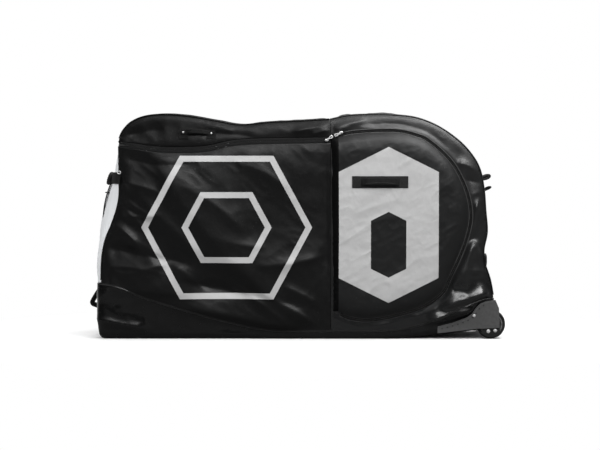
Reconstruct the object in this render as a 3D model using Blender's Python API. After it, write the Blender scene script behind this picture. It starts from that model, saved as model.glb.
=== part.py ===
# Soft travel bag for a bicycle: a padded fabric shell on a tarpaulin tub, with a top lid,
# a wheel pocket on each side, straps with buckles, webbing handles and two rear wheels.
# The bag is long along X with its wheels at +X, deep along Y and high along Z.
# Every shape on the near side (-Y) is repeated on the far side (+Y).
import math

import bmesh
import bpy
import numpy as np
from mathutils import Matrix

# Overall sizes, in metres
body_length = 1.2695
body_height = 0.7135
half_depth = 0.128
seat = 0.0003

# Walls of padded fabric and of tarpaulin
panel_wall = 0.005
tub_wall = 0.004
panel_bulge = 0.009
edge_crown = 0.010
tub_fillet = 0.012

# Lid, zips and the fold that the lid turns on
zip_tape_width = 0.008
zip_tape_thick = 0.002
slider_length = 0.012
slider_height = 0.009
slider_thick = 0.005
pull_width = 0.0056
pull_thick = 0.0018
pull_reach = 0.022
main_slider_room = 0.0133
pocket_slider_room = 0.0324
pocket_slider_rise = 0.0092

# Wheel pockets
pocket_rise = 0.0195
pocket_face_bulge = 0.0025
pocket_wall = 0.004
pocket_edge_inset = 0.0035
pocket_shoulder_inset = 0.010
pocket_opening_inset = 0.012
pocket_tape_width = 0.008
pocket_tape_thick = 0.0015
pocket_strip_room = 0.0008
pocket_space = 0.043
divider_wall = 0.004
divider_fold_room = 0.009
divider_room = 0.0006
divider_foot_room = 0.020
wing_room = 0.0018

# Base board
board_thick = 0.006
board_side_room = 0.016
board_end_room = 0.022

# Rear wheels and their corner guards
wheel_radius = 0.0463
wheel_width = 0.024
wheel_guard_room = 0.0035
wheel_side_room = 0.0015
tyre_thick = 0.0095
hub_web = 0.008
hub_boss_radius = 0.011
axle_radius = 0.004
axle_room = 0.0005
well_room = 0.005
well_wall = 0.003
guard_thick = 0.004
tub_well_room = 0.0008
cheek_thick = 0.0023
cheek_bottom_room = 0.0045
cheek_half_width = 0.030
cheek_top_room = 0.0018
rivet_radius = 0.0058
rivet_height = 0.0022
guard_rivet_radius = 0.0048

# Webbing, buckles and handles
web_width = 0.038
web_thick = 0.0022
end_web_lift = 0.0013
tail_web_lift = 0.0009
buckle_width = 0.044
buckle_thick = 0.013
buckle_socket_length = 0.036
buckle_plug_length = 0.024
buckle_lift = 0.0014
buckle_tongue_length = 0.016
buckle_tongue_width = 0.024
buckle_tongue_thick = 0.005
buckle_play = 0.0007
lid_handle_width = 0.014
lid_handle_thick = 0.003
lid_handle_rise = 0.006
lid_handle_proud = 0.009
lid_handle_lift = 0.0006
door_handle_width = 0.034
door_handle_thick = 0.0025
door_handle_proud = 0.008
tow_loop_reach = 0.0273
tow_loop_width = 0.030
tow_loop_thick = 0.004
tab_reach = 0.020
tab_thick = 0.004
tab_rise = 0.016
tab_lift = 0.0003

# Shares of one size that another follows
left_share = 0.49783
corner_share = 0.293
inner_fillet_share = 0.9
face_shrink_share = 0.72
slider_shares = [(-1.0, -0.7), (0.6, -1.0), (1.0, -0.5), (1.0, 0.5), (0.6, 1.0), (-1.0, 0.7)]
rivet_shares = [(1.0, 0.0), (0.92, 0.45), (0.55, 1.0)]
cheek_top_share = 0.7
strap_reach_share = 0.97
strap_start_share = 0.3
handle_ramp_share = 0.167
buckle_corner_share = 0.25
tyre_shoulder_share = 0.3
tyre_crown_share = 0.30
tyre_edge_share = 0.80
hub_boss_share = 0.96
hub_rim_share = 0.92
hub_lip_share = 0.86
hub_dish_share = 0.82
hub_boss_foot_share = 1.2
tow_hole_shares = [(1.0, -3.0), (1.6, 0.0), (2.2, 2.0), (1.0, 1.4)]
main_pull_slope = (1.0, 0.72)
pocket_pull_slope = (-0.90, -0.44)
well_roof_angles = (66.0, 196.0)
cheek_angles = (222.0, 318.0)

# How finely curved shapes are divided
long_steps = 18
high_steps = 6
across_steps = 6
arc_steps = 24
dense_steps = 12
round_steps = 7
rivet_steps = 10
tab_steps = 12
arch_steps = 11
end_steps = 4

# Outlines as shares of body_length from the left end and of body_height from the floor
lid_top_shares = [
    (0.052, 0.877), (0.054, 0.893), (0.063, 0.927), (0.084, 0.965), (0.119, 0.991),
    (0.169, 1.000), (0.231, 0.991), (0.293, 0.972), (0.355, 0.954), (0.429, 0.965),
    (0.504, 0.971), (0.5805, 0.979),
]
dome_shares = [
    (0.5805, 0.979), (0.628, 0.996), (0.690, 1.000), (0.752, 0.996), (0.801, 0.982),
    (0.851, 0.945), (0.901, 0.883), (0.935, 0.817), (0.955, 0.751), (0.965, 0.662),
    (0.969, 0.574), (0.973, 0.477), (0.965, 0.397), (0.968, 0.336), (0.981, 0.265),
    (0.9895, 0.187),
]
zip_end_shares = [(0.052, 0.852), (0.5805, 0.883)]
end_edge_shares = [
    (0.007, 0.240), (0.015, 0.362), (0.027, 0.442), (0.045, 0.521), (0.053, 0.618),
    (0.053, 0.728), (0.052, 0.880),
]
end_middle_shares = [
    (0.003, 0.240), (0.000, 0.327), (0.000, 0.464), (0.003, 0.547), (0.016, 0.653),
    (0.036, 0.744), (0.052, 0.852), (0.052, 0.880),
]
tub_rim_shares = [
    (0.000, 0.247), (0.052, 0.234), (0.114, 0.185), (0.206, 0.135), (0.305, 0.084),
    (0.409, 0.044), (0.504, 0.034), (0.600, 0.034), (0.700, 0.036), (0.770, 0.048),
    (0.840, 0.085), (0.900, 0.135), (0.960, 0.175), (1.000, 0.181),
]
tub_floor_shares = [(0.000, 0.0), (0.727, 0.0), (0.801, 0.009), (0.876, 0.022), (0.940, 0.036), (1.0, 0.036)]
pocket_left_shares = [(0.598, 0.119), (0.598, 0.899)]
pocket_arc_shares = [
    (0.598, 0.899), (0.633, 0.914), (0.690, 0.921), (0.745, 0.921), (0.790, 0.904),
    (0.826, 0.874), (0.881, 0.781), (0.916, 0.662), (0.928, 0.552), (0.919, 0.455),
    (0.901, 0.366), (0.876, 0.270),
]
pocket_foot_shares = [
    (0.876, 0.270), (0.859, 0.208), (0.814, 0.148), (0.747, 0.108), (0.677, 0.086),
    (0.628, 0.095), (0.598, 0.119),
]
guard_shares = [
    (0.847, 0.026), (0.847, 0.056), (0.885, 0.073), (0.921, 0.097), (0.933, 0.113),
    (0.942, 0.137), (0.953, 0.158), (0.968, 0.168), (0.991, 0.174), (1.000, 0.137),
    (1.0015, 0.050), (0.945, 0.046),
]
guard_rivet_share = (0.938, 0.105)
cheek_rivet_shares = [(0.974, 0.035), (0.991, 0.038)]
lid_handle_shares = [(0.209, 0.917), (0.288, 0.912)]
wheel_share = 0.9811
door_handle_shares = [(0.6554, 0.6924), (0.7499, 0.6924)]
pocket_strip_shares = [(0.0, 0.1261), (0.0, 0.8746)]
end_strap_share = 0.7134
tail_strap_share = 0.3420
tow_loop_shares = [(0.0, 0.1233), (0.0, 0.2186)]
tab_strip_shares = [(0.0, 0.6027), (0.0, 0.7638)]
tail_start_shares = (0.93, 0.92)
lid_fade_count = 4.0
end_turn = 0.2
miter = 1.41
right_end_share = 0.9895

near = -1.0
far = 1.0
sides = (("front", near), ("back", far))


# Sizes that follow from the ones above
body_left = -body_length * left_share
divider_depth = half_depth - pocket_space
board_half_depth = half_depth - board_side_room
wheel_outer_y = half_depth - wheel_guard_room
well_inner_y = wheel_outer_y - wheel_width - wheel_side_room
wheel_x = body_left + wheel_share * body_length
right_end = body_left + right_end_share * body_length
end_strap_z = end_strap_share * body_height
tail_strap_z = tail_strap_share * body_height


# Placing and interpolating
def place(share):
    return body_left + share[0] * body_length, share[1] * body_height


def table(shares):
    return np.array([place(share) for share in shares])


def smooth_line(points, count):
    # Catmull-Rom curve through the points, then equal steps of arc length
    ends = [2 * points[0] - points[1], *points, 2 * points[-1] - points[-2]]
    dense = []
    for a, b, c, d in zip(ends[:-3], ends[1:-2], ends[2:-1], ends[3:]):
        for step in range(dense_steps):
            t = step / dense_steps
            even = 2 * b + (c - a) * t + (2 * a - 5 * b + 4 * c - d) * t * t
            dense.append(0.5 * (even + (3 * b - a - 3 * c + d) * t * t * t))
    dense.append(points[-1])
    return even_line(np.array(dense), count)


def even_line(points, count):
    run = np.r_[0.0, np.cumsum(np.linalg.norm(np.diff(points, axis=0), axis=1))]
    stops = np.linspace(0.0, run[-1], count)
    return np.stack([np.interp(stops, run, points[:, k]) for k in range(points.shape[1])], axis=1)


def inset_line(line, amount):
    # Moves an outline sideways, to the right of its direction of travel
    along = np.gradient(line, axis=0)
    along /= np.linalg.norm(along, axis=1)[:, None]
    return line + np.stack([along[:, 1], -along[:, 0]], axis=1) * amount


def by_x(points):
    return lambda x: np.interp(x, points[:, 0], points[:, 1])


def by_z(points):
    order = np.argsort(points[:, 1])
    return lambda z: np.interp(z, points[order, 1], points[order, 0])


lid_middle = smooth_line(table(lid_top_shares), long_steps * 2)
dome_middle = smooth_line(table(dome_shares), long_steps * 2)
lid_fade = np.minimum(1.0, np.linspace(0.0, lid_fade_count, long_steps * 2))[:, None]
lid_edge = inset_line(lid_middle, edge_crown * lid_fade)
dome_edge = inset_line(dome_middle, edge_crown)
lid_fold_x = place(dome_shares[0])[0]
zip_line = by_x(table(zip_end_shares))
tub_rim = by_x(smooth_line(table(tub_rim_shares), long_steps * 3))
tub_floor = by_x(table(tub_floor_shares))
end_edge = by_z(smooth_line(table(end_edge_shares), long_steps * 2))
end_middle = by_z(smooth_line(table(end_middle_shares), long_steps * 2))
dome_right = dome_middle[dome_middle[:, 0] > place((tail_start_shares[0], 0.0))[0]]
dome_right_edge = dome_edge[dome_edge[:, 0] > place((tail_start_shares[1], 0.0))[0]]
tail_edge = by_z(dome_right_edge)
tail_middle = by_z(dome_right)
band_half = half_depth - panel_wall - seat


# Meshes and materials
def material(name, colour, roughness, metallic=0.0):
    made = bpy.data.materials.new(name)
    made.use_nodes = True
    shader = made.node_tree.nodes["Principled BSDF"]
    shader.inputs["Base Color"].default_value = (*colour, 1.0)
    shader.inputs["Roughness"].default_value = roughness
    shader.inputs["Metallic"].default_value = metallic
    return made


def add_object(name, points, faces, look):
    mesh = bpy.data.meshes.new(name)
    mesh.from_pydata([tuple(point) for point in points], [], faces)
    builder = bmesh.new()
    builder.from_mesh(mesh)
    bmesh.ops.recalc_face_normals(builder, faces=builder.faces)
    builder.to_mesh(mesh)
    builder.free()
    mesh.materials.append(look)
    made = bpy.data.objects.new(name, mesh)
    bpy.context.scene.collection.objects.link(made)
    return made


def set_origin(made, point):
    # Puts the object's origin on its joint's axis and leaves its shape where it was
    made.data.transform(Matrix.Translation([-value for value in point]))
    made.location = point


def grid_normals(grid, outward):
    along = np.gradient(grid, axis=0)
    across = np.gradient(grid, axis=1)
    normal = np.cross(along, across)
    normal /= np.linalg.norm(normal, axis=2)[:, :, None]
    facing = np.sign((normal * np.array(outward)).sum(axis=2).mean())
    return normal * facing


def shell(name, grid, wall, outward, look):
    # A wall of even thickness under a grid of points on its outer face
    inner = grid - grid_normals(grid, outward) * wall
    rows, columns = grid.shape[:2]
    count = rows * columns
    points = np.concatenate([grid.reshape(-1, 3), inner.reshape(-1, 3)])
    faces = []
    for row in range(rows - 1):
        for column in range(columns - 1):
            a = row * columns + column
            quad = (a, a + 1, a + columns + 1, a + columns)
            faces.append(quad)
            faces.append(tuple(count + k for k in reversed(quad)))
    rim = [column for column in range(columns)]
    rim += [row * columns + columns - 1 for row in range(1, rows)]
    rim += [(rows - 1) * columns + column for column in range(columns - 2, -1, -1)]
    rim += [row * columns for row in range(rows - 2, 0, -1)]
    for a, b in zip(rim, rim[1:] + rim[:1]):
        faces.append((a, b, count + b, count + a))
    return add_object(name, points, faces, look)


def loft(name, loops, look, closed=False):
    # Rings of equal count joined in turn: capped at both ends, or closed on itself
    count = len(loops[0])
    points = np.concatenate(loops)
    faces = []
    pairs = len(loops) if closed else len(loops) - 1
    for ring in range(pairs):
        low = ring * count
        high = (ring + 1) % len(loops) * count
        for k in range(count):
            n = (k + 1) % count
            faces.append((low + k, low + n, high + n, high + k))
    if not closed:
        faces.append(tuple(range(count)))
        faces.append(tuple((len(loops) - 1) * count + k for k in range(count)))
    return add_object(name, points, faces, look)


def flat_ring(outline, y):
    return np.stack([outline[:, 0], np.full(len(outline), y), outline[:, 1]], axis=1)


def plate(name, outline, y_start, y_end, look):
    return loft(name, [flat_ring(outline, y_start), flat_ring(outline, y_end)], look)


def block(name, low, high, look):
    x0, y0, z0 = low
    x1, y1, z1 = high
    outline = np.array([(x0, z0), (x1, z0), (x1, z1), (x0, z1)])
    return plate(name, outline, y0, y1, look)


def round_outline(centre, radius, count, start=0.0, end=2 * math.pi, joined=True):
    angles = np.linspace(start, end, count, endpoint=not joined)
    return np.stack([centre[0] + radius * np.cos(angles), centre[1] + radius * np.sin(angles)], axis=1)


def use_boolean(target, tool, operation):
    cut = target.modifiers.new(operation.lower(), "BOOLEAN")
    cut.operation = operation
    cut.object = tool
    tool.hide_render = True
    tool.display_type = "WIRE"


def turned_ring(name, profile, centre, look):
    # A profile of (radius, y) points turned about the wheel's axis
    angles = np.linspace(0.0, 2 * math.pi, arc_steps, endpoint=False)
    loops = []
    for radius, y in profile:
        x = centre[0] + radius * np.cos(angles)
        z = centre[1] + radius * np.sin(angles)
        loops.append(np.stack([x, np.full(arc_steps, y), z], axis=1))
    return loft(name, loops, look, closed=True)


# Looks, by material
black_fabric = material("black_fabric", (0.016, 0.016, 0.017), 0.75)
pale_fabric = material("pale_fabric", (0.62, 0.62, 0.63), 0.7)
tarpaulin = material("tarpaulin", (0.012, 0.012, 0.013), 0.32)
webbing = material("webbing", (0.010, 0.010, 0.011), 0.8)
zip_black = material("zip_black", (0.012, 0.012, 0.012), 0.6)
nickel = material("nickel", (0.75, 0.75, 0.76), 0.25, 1.0)
guard_plastic = material("guard_plastic", (0.058, 0.058, 0.060), 0.55)
black_plastic = material("black_plastic", (0.010, 0.010, 0.011), 0.4)
tyre_rubber = material("tyre_rubber", (0.013, 0.013, 0.013), 0.6)
wheel_grey = material("wheel_grey", (0.11, 0.11, 0.11), 0.45)
board_grey = material("board_grey", (0.05, 0.05, 0.05), 0.6)


# Tub and base board
def stations(left, right, count):
    # Even steps along X with the places where the floor's slope changes
    breaks = table(tub_floor_shares)[:, 0]
    inside = breaks[(breaks > left) & (breaks < right)]
    return np.unique(np.concatenate([np.linspace(left, right, count), inside]))


def end_run(x, start, stop):
    return np.stack([np.full(end_steps, x), np.linspace(start, stop, end_steps)], axis=1)


def tub_loop(inset, level):
    # One closed ring: near side left to right, right end, far side, left end
    left = body_left + inset + seat
    right = right_end - inset
    deep = half_depth - inset
    round_off = corner_share * tub_fillet
    xs = tub_stations()
    near_side = np.stack([xs, np.full(len(xs), -deep)], axis=1)
    corner = np.array([(right - round_off, -deep + round_off)])
    right_wall = end_run(right, -deep + tub_fillet, deep - tub_fillet)
    corner_far = corner * (1, -1)
    left_corner_far = np.array([(left + round_off, deep - round_off)])
    left_wall = end_run(left, deep - tub_fillet, -deep + tub_fillet)
    left_corner = left_corner_far * (1, -1)
    loop = np.concatenate([near_side, corner, right_wall, corner_far, near_side[::-1] * (1, -1),
                           left_corner_far, left_wall, left_corner])
    rim = tub_rim(loop[:, 0])
    floor = tub_floor(loop[:, 0])
    return np.stack([loop[:, 0], loop[:, 1], level(rim, floor)], axis=1)


def tub_stations():
    return stations(body_left + tub_fillet * 2, right_end - tub_fillet * 2, long_steps)


def make_tub():
    levels = [
        (0.0, lambda rim, floor: rim),
        (0.0, lambda rim, floor: floor + tub_fillet),
        (tub_fillet * corner_share, lambda rim, floor: floor + tub_fillet * corner_share),
        (tub_fillet, lambda rim, floor: floor),
    ]
    loops = [tub_loop(inset, level) for inset, level in levels]
    inner = []
    for inset, level in levels[1:]:
        raised = lambda rim, floor, level=level: np.minimum(rim, level(rim, floor) + tub_wall)
        inner.append(tub_loop(inset * inner_fillet_share + tub_wall, raised))
    inner_rim = tub_loop(tub_wall, levels[0][1])
    rings = [*reversed(loops), inner_rim, *inner]
    count = len(loops[0])
    points = np.concatenate(rings)
    faces = []
    for ring in range(len(rings) - 1):
        for k in range(count):
            n = (k + 1) % count
            a = ring * count
            faces.append((a + k, a + n, a + count + n, a + count + k))
    side_count = len(tub_stations())
    far_start = side_count + end_steps + 2
    for base in (0, (len(rings) - 1) * count):
        for k in range(side_count - 1):
            far_k = far_start + side_count - 1 - k
            faces.append((base + k, base + k + 1, base + far_k - 1, base + far_k))
        faces.append(tuple(base + k for k in range(side_count - 1, far_start + 1)))
        faces.append(tuple(base + k for k in [*range(far_start + side_count - 1, count), 0]))
    tub = add_object("tub_skin", points, faces, tarpaulin)
    for side, sign in sides:
        radius = wheel_radius + well_room + well_wall + tub_well_room
        outline = round_outline((wheel_x, wheel_radius), radius, arc_steps * 2)
        cutter = plate(side + "_well_cutter", outline, sign * (well_inner_y - well_wall - tub_well_room),
                       sign * (half_depth + panel_wall), tarpaulin)
        use_boolean(tub, cutter, "DIFFERENCE")


def make_board():
    left = body_left + board_end_room
    right = wheel_x - wheel_radius - well_room - well_wall - board_end_room
    xs = stations(left, right, high_steps)
    low = tub_floor(xs) + tub_wall + seat
    lower = np.stack([xs, low], axis=1)
    upper = np.stack([xs, low + board_thick], axis=1)
    plate("base_board", np.concatenate([lower, upper[::-1]]), -board_half_depth, board_half_depth, board_grey)


# Side panels, end panel, tail gusset and lid
def rim_stops(left, right):
    # Where the tub's rim changes slope, between two places along X
    inside = tub_stations()
    inside = inside[(inside > left + seat) & (inside < right - seat)]
    return np.concatenate([[left], inside, [right]])


def side_grid(low_line, high_line, left_line, right_x, bulge, sign):
    stops = rim_stops(float(left_line(low_line(body_left))), right_x)
    u = ((stops - stops[0]) / (stops[-1] - stops[0]))[:, None]
    v = np.linspace(0.0, 1.0, high_steps)[None, :]
    x = body_left + u * (right_x - body_left) + 0 * v
    for _ in range(dense_steps):
        z = low_line(x) + (high_line(x) - low_line(x)) * v
        left = left_line(z)
        x = left + (right_x - left) * u
    depth = half_depth + bulge * np.sin(math.pi * u) * np.sin(math.pi * v)
    return np.stack([x, sign * depth, z], axis=2)


def make_side_panel(side, sign):
    grid = side_grid(lambda x: tub_rim(x) + seat, lambda x: zip_line(x) - zip_tape_width - seat,
                     end_edge, lid_fold_x - seat, panel_bulge, sign)
    shell(side + "_side_panel", grid, panel_wall, (0, sign, 0), black_fabric)


def band_grid(middle, edge, half):
    t = np.linspace(-1.0, 1.0, across_steps + 1)[None, :]
    x = middle[:, :1] + (edge[:, :1] - middle[:, :1]) * t * t
    z = middle[:, 1:] + (edge[:, 1:] - middle[:, 1:]) * t * t
    return np.stack([x, half * t + 0 * x, z], axis=2)


def make_end_panel():
    z = np.linspace(tub_rim(body_left) + seat, zip_line(body_left) - zip_tape_width - seat, long_steps)
    middle = np.stack([end_middle(z), z], axis=1)
    edge = np.stack([end_edge(z), z], axis=1)
    shell("left_end_panel", band_grid(middle, edge, band_half), panel_wall, (-1, 0, 0), pale_fabric)


def make_tail_gusset():
    middle = dome_middle.copy()
    edge = dome_edge.copy()
    edge[0] = middle[0] + (seat, -edge_crown)
    middle[0] = middle[0] + (seat, 0.0)
    grid = band_grid(middle, edge, band_half)
    shell("tail_gusset", grid, panel_wall, (0.5, 0, 1), black_fabric)


def make_lid():
    middle = lid_middle.copy()
    edge = lid_edge.copy()
    middle[-1] = (lid_fold_x - seat, middle[-1][1])
    edge[-1] = (lid_fold_x - seat, middle[-1][1] - edge_crown)
    fold = (lid_fold_x, 0.0, place(dome_shares[0])[1] + seat)
    top = shell("lid_top_panel", band_grid(middle, edge, band_half), panel_wall, (-0.2, 0, 1), black_fabric)
    set_origin(top, fold)
    for side, sign in sides:
        high = edge[::2].copy()
        high[-1] = edge[-1]
        low = np.stack([high[:, 0], zip_line(high[:, 0]) + zip_tape_width + seat], axis=1)
        high[:, 1] = np.maximum(high[:, 1], low[:, 1] + seat)
        v = np.linspace(0.0, 1.0, high_steps)[None, :, None]
        flat = low[:, None, :] + (high - low)[:, None, :] * v
        grid = np.stack([flat[:, :, 0], np.full(flat.shape[:2], sign * half_depth), flat[:, :, 1]], axis=2)
        yoke = shell("lid_%s_yoke" % side, grid, panel_wall, (0, sign, 0), black_fabric)
        set_origin(yoke, fold)
    return fold


# Main zip
def zip_path(count_long, count_end):
    left = end_edge(zip_line(body_left))
    right = lid_fold_x - seat
    xs = np.linspace(right, left, count_long)
    near_run = np.stack([xs, np.full(count_long, -half_depth)], axis=1)
    ys = np.linspace(-half_depth, half_depth, count_end)[1:-1]
    across = np.stack([np.full(len(ys), left), ys], axis=1)
    return np.concatenate([near_run, across, near_run[::-1] * (1, -1)])


def make_zip_tape(name, low, high):
    plan = zip_path(long_steps // 2, end_steps)
    z = zip_line(plan[:, 0])
    middle = np.array([((plan[0, 0] + plan[:, 0].min()) / 2, 0.0)])
    along = np.gradient(plan, axis=0)
    along /= np.linalg.norm(along, axis=1)[:, None]
    inward = np.stack([along[:, 1], -along[:, 0]], axis=1)
    inward *= np.sign((inward * (middle - plan)).sum(axis=1))[:, None]
    corner = np.abs(inward).min(axis=1) > end_turn
    inner = plan + inward * zip_tape_thick * np.where(corner, miter, 1.0)[:, None]
    points = []
    for ring in range(len(plan)):
        for spot, level in ((plan, low), (plan, high), (inner, high), (inner, low)):
            points.append((spot[ring, 0], spot[ring, 1], z[ring] + level))
    faces = []
    for ring in range(len(plan) - 1):
        for k in range(4):
            n = (k + 1) % 4
            a = ring * 4
            faces.append((a + k, a + n, a + 4 + n, a + 4 + k))
    faces.append((0, 1, 2, 3))
    last = (len(plan) - 1) * 4
    faces.append((last, last + 1, last + 2, last + 3))
    return add_object(name, points, faces, zip_black)


def make_pull(name, anchor, direction, sign, look):
    # A tab with a round end, lying flat over its slider and hinged along its straight end
    along = np.array(direction) / np.linalg.norm(direction)
    across = np.array((-along[1], along[0]))
    outline = [np.array(anchor) + across * pull_width / 2, np.array(anchor) - across * pull_width / 2]
    for angle in np.linspace(-0.5 * math.pi, 0.5 * math.pi, round_steps):
        offset = along * math.cos(angle) + across * math.sin(angle)
        outline.append(np.array(anchor) + along * pull_reach + offset * pull_width / 2)
    y = half_depth + seat + slider_thick + seat
    tab = plate(name, np.array(outline), sign * y, sign * (y + pull_thick), look)
    set_origin(tab, (anchor[0], sign * (y + pull_thick / 2), anchor[1]))


def make_slider(name, centre, direction, sign):
    along = np.array(direction) / np.linalg.norm(direction)
    across = np.array((-along[1], along[0]))
    corners = []
    for a, b in slider_shares:
        corners.append(np.array(centre) + along * a * slider_length / 2 + across * b * slider_height / 2)
    start = half_depth + seat
    return plate(name, np.array(corners), sign * start, sign * (start + slider_thick), nickel)


def make_main_zip(fold):
    make_zip_tape("main_zip_body_tape", -zip_tape_width, -seat / 2)
    lid_tape = make_zip_tape("main_zip_lid_tape", seat / 2, zip_tape_width)
    set_origin(lid_tape, fold)
    x = lid_fold_x - main_slider_room
    slope = table(zip_end_shares)
    direction = slope[0] - slope[1]
    for side, sign in sides:
        centre = (x, float(zip_line(x)))
        make_slider("main_zip_%s_slider" % side, centre, direction, sign)
        make_pull("main_zip_%s_pull" % side, centre, main_pull_slope, sign, nickel)


# Wheel pockets
def pocket_outline(foot_steps=arc_steps // 2):
    left = even_line(table(pocket_left_shares), high_steps + 1)
    arc = smooth_line(table(pocket_arc_shares), arc_steps)
    foot = smooth_line(table(pocket_foot_shares), foot_steps)
    return np.concatenate([left[:-1], arc[:-1], foot[:-1]])


def inset_loop(loop, amount):
    along = np.roll(loop, -1, axis=0) - np.roll(loop, 1, axis=0)
    along /= np.linalg.norm(along, axis=1)[:, None]
    return loop + np.stack([along[:, 1], -along[:, 0]], axis=1) * amount


def shrink_loop(loop, share):
    centre = (loop.max(axis=0) + loop.min(axis=0)) / 2
    return centre + (loop - centre) * share


def make_surround(side, sign):
    x_left = lid_fold_x + seat
    bottom = tub_rim(x_left) + seat
    edge = dome_edge.copy()
    edge[0] = (x_left, edge[0][1])
    rim_x = rim_stops(x_left, edge[-1][0])[::-1]
    inner = inset_loop(pocket_outline(len(rim_x)), pocket_opening_inset)
    rim = np.stack([rim_x, tub_rim(rim_x) + seat], axis=1)
    rim[0] = (edge[-1][0], max(rim[0][1], edge[-1][1] - edge_crown))
    left = even_line(np.array([(x_left, bottom), tuple(edge[0])]), high_steps + 1)
    outer = np.concatenate([left[:-1], even_line(edge, arc_steps)[:-1], rim[:-1]])
    depths = (sign * half_depth, sign * (half_depth - panel_wall))
    rings = [flat_ring(outer, depths[0]), flat_ring(inner, depths[0]),
             flat_ring(inner, depths[1]), flat_ring(outer, depths[1])]
    loft(side + "_pocket_surround", rings, black_fabric, closed=True)


def make_pocket_tape(side, sign):
    outline = pocket_outline()
    start = half_depth + seat
    stop = start + pocket_tape_thick
    outer = inset_loop(outline, seat)
    inner = inset_loop(outline, pocket_tape_width)
    rings = [flat_ring(outer, sign * start), flat_ring(outer, sign * stop),
             flat_ring(inner, sign * stop), flat_ring(inner, sign * start)]
    loft(side + "_pocket_zip_tape", rings, zip_black, closed=True)


def make_pocket_strip(side, sign):
    left = lid_fold_x + seat * 3
    right = table(pocket_left_shares)[0, 0] - pocket_strip_room
    depths = (half_depth + seat, half_depth + pocket_rise)
    loops = []
    for z in table(pocket_strip_shares)[:, 1]:
        loops.append(np.array([(left, sign * depths[0], z), (right, sign * depths[0], z),
                               (right, sign * depths[1], z)]))
    loft(side + "_pocket_hinge_strip", loops, black_fabric)


def pocket_depths():
    start = half_depth + seat * 2 + pocket_tape_thick
    shoulder = half_depth + pocket_rise
    return start, shoulder


def make_pocket_door(side, sign):
    outline = inset_loop(pocket_outline(), seat)
    start, shoulder = pocket_depths()
    edge = shoulder - pocket_edge_inset * 2
    top = shoulder + pocket_face_bulge
    face = shrink_loop(outline, face_shrink_share)
    outer = [(outline, start), (inset_loop(outline, pocket_edge_inset), edge),
             (inset_loop(outline, pocket_shoulder_inset), shoulder), (face, top)]
    inner = [(face, top - pocket_wall),
             (inset_loop(outline, pocket_shoulder_inset + pocket_wall), shoulder - pocket_wall),
             (inset_loop(outline, pocket_edge_inset + pocket_wall), edge - pocket_wall / 2),
             (inset_loop(outline, pocket_wall), start)]
    loops = [flat_ring(loop, sign * depth) for loop, depth in outer + inner]
    count = len(outline)
    faces = []
    for ring in range(len(loops)):
        if ring == 3:
            continue
        low = ring * count
        high = (ring + 1) % len(loops) * count
        for k in range(count):
            n = (k + 1) % count
            faces.append((low + k, low + n, high + n, high + k))
    faces.append(tuple(range(3 * count, 4 * count)))
    faces.append(tuple(range(4 * count, 5 * count)))
    door = add_object(side + "_pocket_door", np.concatenate(loops), faces, black_fabric)
    set_origin(door, pocket_hinge(sign))


def pocket_hinge(sign):
    line = table(pocket_left_shares)
    return line[0, 0], sign * pocket_depths()[1], line[:, 1].mean()


def make_divider(side, sign):
    share = divider_depth / band_half
    crown = edge_crown * share * share
    top = inset_line(dome_middle, crown + panel_wall + divider_room)
    top = top[(top[:, 0] > lid_fold_x + divider_wall)]
    left = lid_fold_x - divider_fold_room
    low_x = stations(left, top[-1][0] - divider_foot_room, high_steps)[::-1]
    floor = tub_floor(low_x) + tub_wall + board_thick + divider_room
    lowest = np.stack([low_x, floor], axis=1)
    head = np.array([(left, top[0][1] - divider_room), (lid_fold_x - divider_room, top[0][1] - divider_room)])
    outline = np.concatenate([head, top, lowest])
    outline[:2, 1] = zip_line(left) - zip_tape_width
    outline[1, 0] = lid_fold_x + seat
    depths = (sign * divider_depth, sign * (divider_depth - divider_wall))
    slab = plate(side + "_pocket_divider", outline, *depths, black_fabric)
    outer = half_depth - panel_wall - wing_room
    low = (left, sign * (divider_depth - divider_wall / 2), float(outline[-1, 1]))
    high = (left + divider_wall, sign * outer, float(outline[0, 1]))
    wing = block(side + "_divider_wing", low, high, black_fabric)
    use_boolean(slab, wing, "UNION")


def make_pocket_zip(side, sign):
    arc = table(pocket_arc_shares)
    direction = arc[1] - arc[0]
    x = lid_fold_x + pocket_slider_room
    z = float(by_x(arc[:3])(x))
    centre = (x, z + pocket_slider_rise)
    make_slider(side + "_pocket_slider", centre, direction, sign)
    make_pull(side + "_pocket_pull", centre, pocket_pull_slope, sign, nickel)


# Handles
def strap_arch(name, start, end, rise, width, thick, base, lift, proud, sign, look):
    # A flat strap between two places that bows up by rise and stands proud in its middle
    t = np.linspace(0.0, 1.0, arch_steps)
    arch = np.sin(math.pi * t)
    stand = np.minimum(1.0, np.minimum(t, 1 - t) / handle_ramp_share)
    x = start[0] + (end[0] - start[0]) * t
    z = start[1] + (end[1] - start[1]) * t + rise * arch
    depth = base + lift + proud * stand
    loops = []
    for k in range(arch_steps):
        near_y = sign * depth[k]
        far_y = sign * (depth[k] + thick)
        loops.append(np.array([(x[k], near_y, z[k] - width / 2), (x[k], near_y, z[k] + width / 2),
                               (x[k], far_y, z[k] + width / 2), (x[k], far_y, z[k] - width / 2)]))
    strap = loft(name, loops, look)
    return strap


def make_handles():
    for side, sign in sides:
        start, end = (place(share) for share in lid_handle_shares)
        strap = strap_arch("lid_%s_handle" % side, start, end, lid_handle_rise, lid_handle_width,
                           lid_handle_thick, half_depth, lid_handle_lift, lid_handle_proud, sign, webbing)
        set_origin(strap, ((start[0] + end[0]) / 2, sign * (half_depth + lid_handle_lift), start[1]))
        base = pocket_depths()[1] + pocket_face_bulge
        start, end = (place(share) for share in door_handle_shares)
        strap = strap_arch(side + "_door_handle", start, end, 0.0, door_handle_width, door_handle_thick,
                           base, seat * 2, door_handle_proud, sign, webbing)
        set_origin(strap, ((start[0] + end[0]) / 2, sign * (base + seat * 2), start[1]))


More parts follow.
